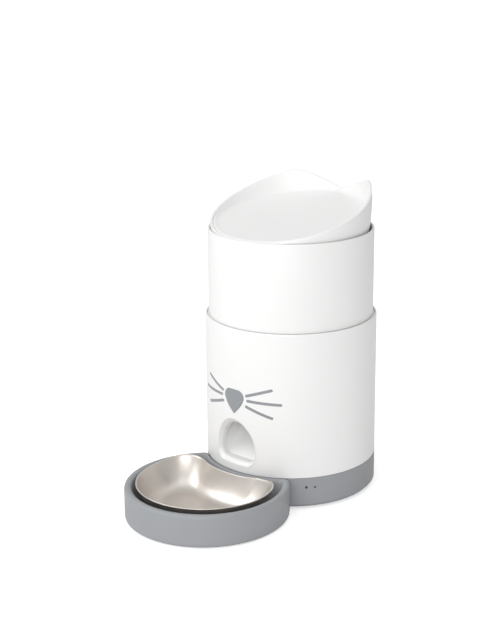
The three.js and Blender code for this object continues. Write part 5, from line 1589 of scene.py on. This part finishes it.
@dataclass
class Tray:
    """The grey tray that docks on the base, with its rubber pads."""

    workshop: Workshop
    distance: float = TRAY_DISTANCE
    radius: float = box_of("tray")[1][0]
    low: float = box_of("tray")[0][2]
    top: float = box_of("tray")[1][2]
    bite: float = HOUSE_HIGH[0] + 0.3
    corner: float = 5.0
    floor: float = 4.5
    seat_inner: float = 37.5
    seat_outer: float = 40.0
    seat_top: float = 8.5

    def build(self) -> None:
        """Build the tray from stations over its wall and down to its floor, and its pads."""
        top, low = self.top, self.low
        stations = flowing(np.array([
            [14, 14, low], [2.6, 2.6, low], [2.6, 2.6, low], [0.7, 0.7, low + 0.8], [0, 0, low + 2.8], [0, 0, low + 8],
            [0, 0, top - 9], [0, 0, top - 4.2], [0.55, 0.35, top - 1.7], [2.0, 1.2, top - 0.35], [3.8, 2.4, top],
            [6.2, 3.8, top - 0.35], [8.0, 5.0, top - 1.7], [9.4, 6.2, top - 4.4], [12.6, 8.6, 24], [17.4, 12, 13.5],
            [24, 17, 6.6], [29, 22, self.floor], [34, 26, self.floor],
        ]), 3)
        inset, rear, height = stations[:, 0], stations[:, 1], stations[:, 2]
        corner = np.maximum(self.corner - inset * 0.35, 3.2)
        flat = bitten(self.radius - inset, self.bite + rear, corner, self.distance)
        rings = np.concatenate([flat, np.broadcast_to(height[:, None, None], (*flat.shape[:2], 1))], -1)
        rings[..., 1] -= self.distance
        skin = Skin().loft(rings)
        inner, outer, under = self.seat_inner, self.seat_outer, self.floor - 1
        seat = softened([[inner, under], [outer, under], [outer, self.seat_top], [inner, self.seat_top]],
                        [0, 0, 0.6, 0.6], 4)
        skin.loft(turned(seat, 128) - np.array([0, self.distance, 0]), joined=True)
        tongue = softened([[-28, -102.5], [28, -102.5], [28, -79.5], [-28, -79.5]], [1, 1, 3, 3], 5)
        skin.loft(raised(spaced(tongue, 96), [7, 7.5, 12.5, 13], [0.5, 0, 0, 0.5]))
        self.workshop.fit(skin, "tray_dish", Slot.GREY, Body.TRAY, "tray", sharp=50)
        for place in ("front", "left", "right"):
            self.workshop.pad(f"tray_pad_{place}", Body.TRAY)


@dataclass
class Bowl:
    """The thin steel bowl, with an ear at each end of the arc that faces the body."""

    workshop: Workshop
    distance: float = TRAY_DISTANCE
    radius: float = 77.6
    bite: float = 111.5
    floor: float = box_of("bowl")[0][2]
    depth: float = 30.5
    corner: float = 26.0
    ear_rise: float = 3.0
    ear_spread: float = 24.0
    thickness: float = 0.9

    def build(self) -> None:
        """Build the bowl: the outside up to the rolled rim, and back down the inside.

        The wall's inset follows a smooth curve through a few stations. The rim rises at the corners by
        rise exp(-(distance / spread)^2), less and less further down the wall.
        """
        stations = flowing(np.array([
            [0.0, 1.0], [0.9, 0.93], [2.6, 0.8], [5.2, 0.63], [8.6, 0.44], [12.4, 0.27], [16.8, 0.13], [21.6, 0.04],
            [27.0, 0.0], [36.0, 0.0],
        ]), 4)
        inset, share = stations[:, 0], stations[:, 1].clip(0)
        rim = self.floor + self.depth

        def wall(offset: float) -> Array:
            """Carry the wall's rings from the rim down.

            Args:
                offset: how far they are drawn in.

            Returns:
                A grid of rings.
            """
            corner = np.maximum(self.corner - (inset + offset) * 0.25, 4)
            flat = bitten(self.radius - inset - offset, self.bite + inset * 0.8 + offset, corner, self.distance)
            height = self.floor + share * self.depth + offset * (1 - share**3)
            lift = self.ear(flat[:1]) * share[:, None] ** 1.6
            return np.concatenate([flat, (height[:, None] + lift)[..., None]], -1)

        def bead(out: float, up: float) -> Array:
            """Draw one ring of the rolled rim."""
            flat = bitten(self.radius + out, self.bite - out, self.corner + out, self.distance)
            return np.concatenate([flat, (rim + up + self.ear(flat))[..., None]], -1)

        roll = [bead(0.55, -0.15), bead(0.9, 0.2), bead(0.75, 0.6), bead(0.2, 0.78), bead(-0.5, 0.68), bead(-0.9, 0.3)]
        rings = np.concatenate([wall(0.0)[::-1], *roll, wall(self.thickness)[1:]])
        rings[..., 1] -= self.distance
        self.workshop.fit(Skin().loft(rings), "bowl_dish", Slot.STEEL, Body.BOWL, "bowl", sharp=60)

    def ear(self, outline: Array) -> Array:
        """Work out how far the rim rises near its two corners.

        Args:
            outline: rows of [x, y] points.

        Returns:
            The rise at each point.
        """
        spot = bitten(self.radius, self.bite, self.corner, self.distance)[0]
        corner = spot[spot[:, 0] > 0][np.argmax(spot[spot[:, 0] > 0] @ np.array([0.55, 0.83]))]
        away = np.hypot(np.abs(outline[..., 0]) - corner[0], outline[..., 1] - corner[1])
        return self.ear_rise * np.exp(-((away / self.ear_spread) ** 2))


# What works inside


@dataclass
class Works:
    """The drive, the electronics and the cells: CAD nodes that keep their shape and get their finishes."""

    workshop: Workshop

    def build(self) -> None:
        """Dress the inner nodes."""
        self.workshop.repaint(Slot.ACETAL, "gearbox_frame", "gearbox_cover", "drive_gear", "motor_pinion")
        self.workshop.repaint(Slot.METAL, "gear_motor", "battery_contact_front", "battery_contact_rear")
        self.workshop.repaint(Slot.CIRCUIT, "circuit_board", "indicator_board", "inlet_board", "nose_switch")
        self.workshop.repaint(Slot.CELL, *(f"battery_cell_{i}" for i in (1, 2, 3)))


# The studio


@dataclass
class Studio:
    """A pale floor, plain soft lights, and the camera at the photograph's place."""

    azimuth: float = 40.606
    elevation: float = 16.628
    distance: float = 1.626559
    target: float = 0.188013
    zoom: float = 0.875
    image: tuple[int, int] = (502, 642)
    middle: tuple[float, float] = (39.984, 2.014)
    ambient: float = 0.59
    reflected: float = 0.15
    glow: float = 0.52
    reach: float = 12.0

    def camera(self) -> None:
        """Set the camera on its line from the target."""
        data = bpy.data.cameras.new("photo_camera")
        longest = max(self.image)
        data.lens = self.zoom * self.distance / MILLIMETRE / longest * data.sensor_width
        data.shift_x, data.shift_y = -self.middle[0] / longest, self.middle[1] / longest
        data.clip_start, data.clip_end = 0.05, 50
        a, e = math.radians(self.azimuth), math.radians(self.elevation)
        back = Vector((math.sin(a) * math.cos(e), -math.cos(a) * math.cos(e), math.sin(e)))
        eye = bpy.data.objects.new("photo_camera", data)
        eye.location = Vector((0, AXIS[1] * MILLIMETRE, self.target)) + back * self.distance
        eye.rotation_euler = (-back).to_track_quat("-Z", "Y").to_euler()
        bpy.context.scene.collection.objects.link(eye)
        bpy.context.scene.camera = eye

    def lamp(self, name: str, spot: Colour, aim: Colour, size: float, power: float) -> None:
        """Hang a square soft lamp.

        Args:
            name: the lamp's name.
            spot: where it hangs.
            aim: what it looks at.
            size: its side in metres.
            power: its power in watts.
        """
        data = bpy.data.lights.new(name, "AREA")
        data.size, data.energy = size, power
        thing = bpy.data.objects.new(name, data)
        thing.location = spot
        thing.rotation_euler = (Vector(aim) - Vector(spot)).to_track_quat("-Z", "Y").to_euler()
        bpy.context.scene.collection.objects.link(thing)

    def seen(self, tree: bpy.types.NodeTree) -> Signal:
        """Tell the rays that see the backdrop from those that only light the object.

        Args:
            tree: the node tree that asks.

        Returns:
            1 for the camera's own rays and those that come through glass, and less for reflections.
        """
        path = tree.nodes.new("ShaderNodeLightPath")
        camera, glossy, through = (
            Signal(tree, path.outputs[f"Is {kind} Ray"]) for kind in ("Camera", "Glossy", "Transmission")
        )
        total = camera + glossy * self.reflected + through
        return total.node("ShaderNodeMath", {0: total, 1: 1.0}, operation="MINIMUM")

    def backdrop(self) -> None:
        """Light the scene evenly, and show a white background to the camera and to reflections."""
        world = bpy.data.worlds.new("white_room")
        world.use_nodes = True
        tree = world.node_tree
        share = self.seen(tree)
        light = next(n for n in tree.nodes if n.type == "BACKGROUND")
        tree.links.new((share * (1 - self.ambient) + self.ambient).socket, light.inputs["Strength"])
        light.inputs["Color"].default_value = (1, 1, 1, 1)
        bpy.context.scene.world = world

    def floor(self) -> None:
        """Lay a wide pale floor that keeps the object's shadow."""
        mesh = bpy.data.meshes.new("floor")
        corners = [(x * self.reach, y * self.reach, 0) for x, y in ((-1, -1), (1, -1), (1, 1), (-1, 1))]
        mesh.from_pydata(corners, [], [(0, 1, 2, 3)])
        ground = bpy.data.objects.new("floor", mesh)
        bpy.context.scene.collection.objects.link(ground)
        paint = Paint("pale_floor")
        mottle = paint.noise(0.4, 3.0)
        paint.set(
            Base_Color=mottle.blend((0.86, 0.86, 0.86), (0.88, 0.88, 0.88)),
            Roughness=0.75,
            Emission_Color=self.seen(paint.tree).blend((0, 0, 0), (self.glow,) * 3),
            Emission_Strength=1.0,
        )
        mesh.materials.append(paint.material)

    def build(self) -> None:
        """Build the studio."""
        self.camera()
        self.backdrop()
        self.floor()
        self.lamp("key_lamp", (-1.3, -1.5, 1.9), (0, 0, 0.15), 1.6, 22)
        self.lamp("fill_lamp", (1.1, -1.9, 0.6), (0, 0, 0.12), 1.8, 23)
        self.lamp("top_lamp", (0.2, -0.5, 2.3), (0, 0, 0.1), 1.6, 5)
        bpy.context.scene.view_settings.view_transform = "Standard"


def main() -> None:
    """Build the feeder, assembly by assembly, then the studio."""
    logging.basicConfig(level=logging.INFO, format="%(name)s: %(message)s")
    workshop = Workshop()
    parts = [kind(workshop) for kind in (Housing, Deck, Base, Hopper, Lid, Tray, Bowl, Works)]
    for assembly in (*parts, Studio()):
        REPORT.info("building %s", type(assembly).__name__)
        assembly.build()


if __name__ == "__main__":
    main()
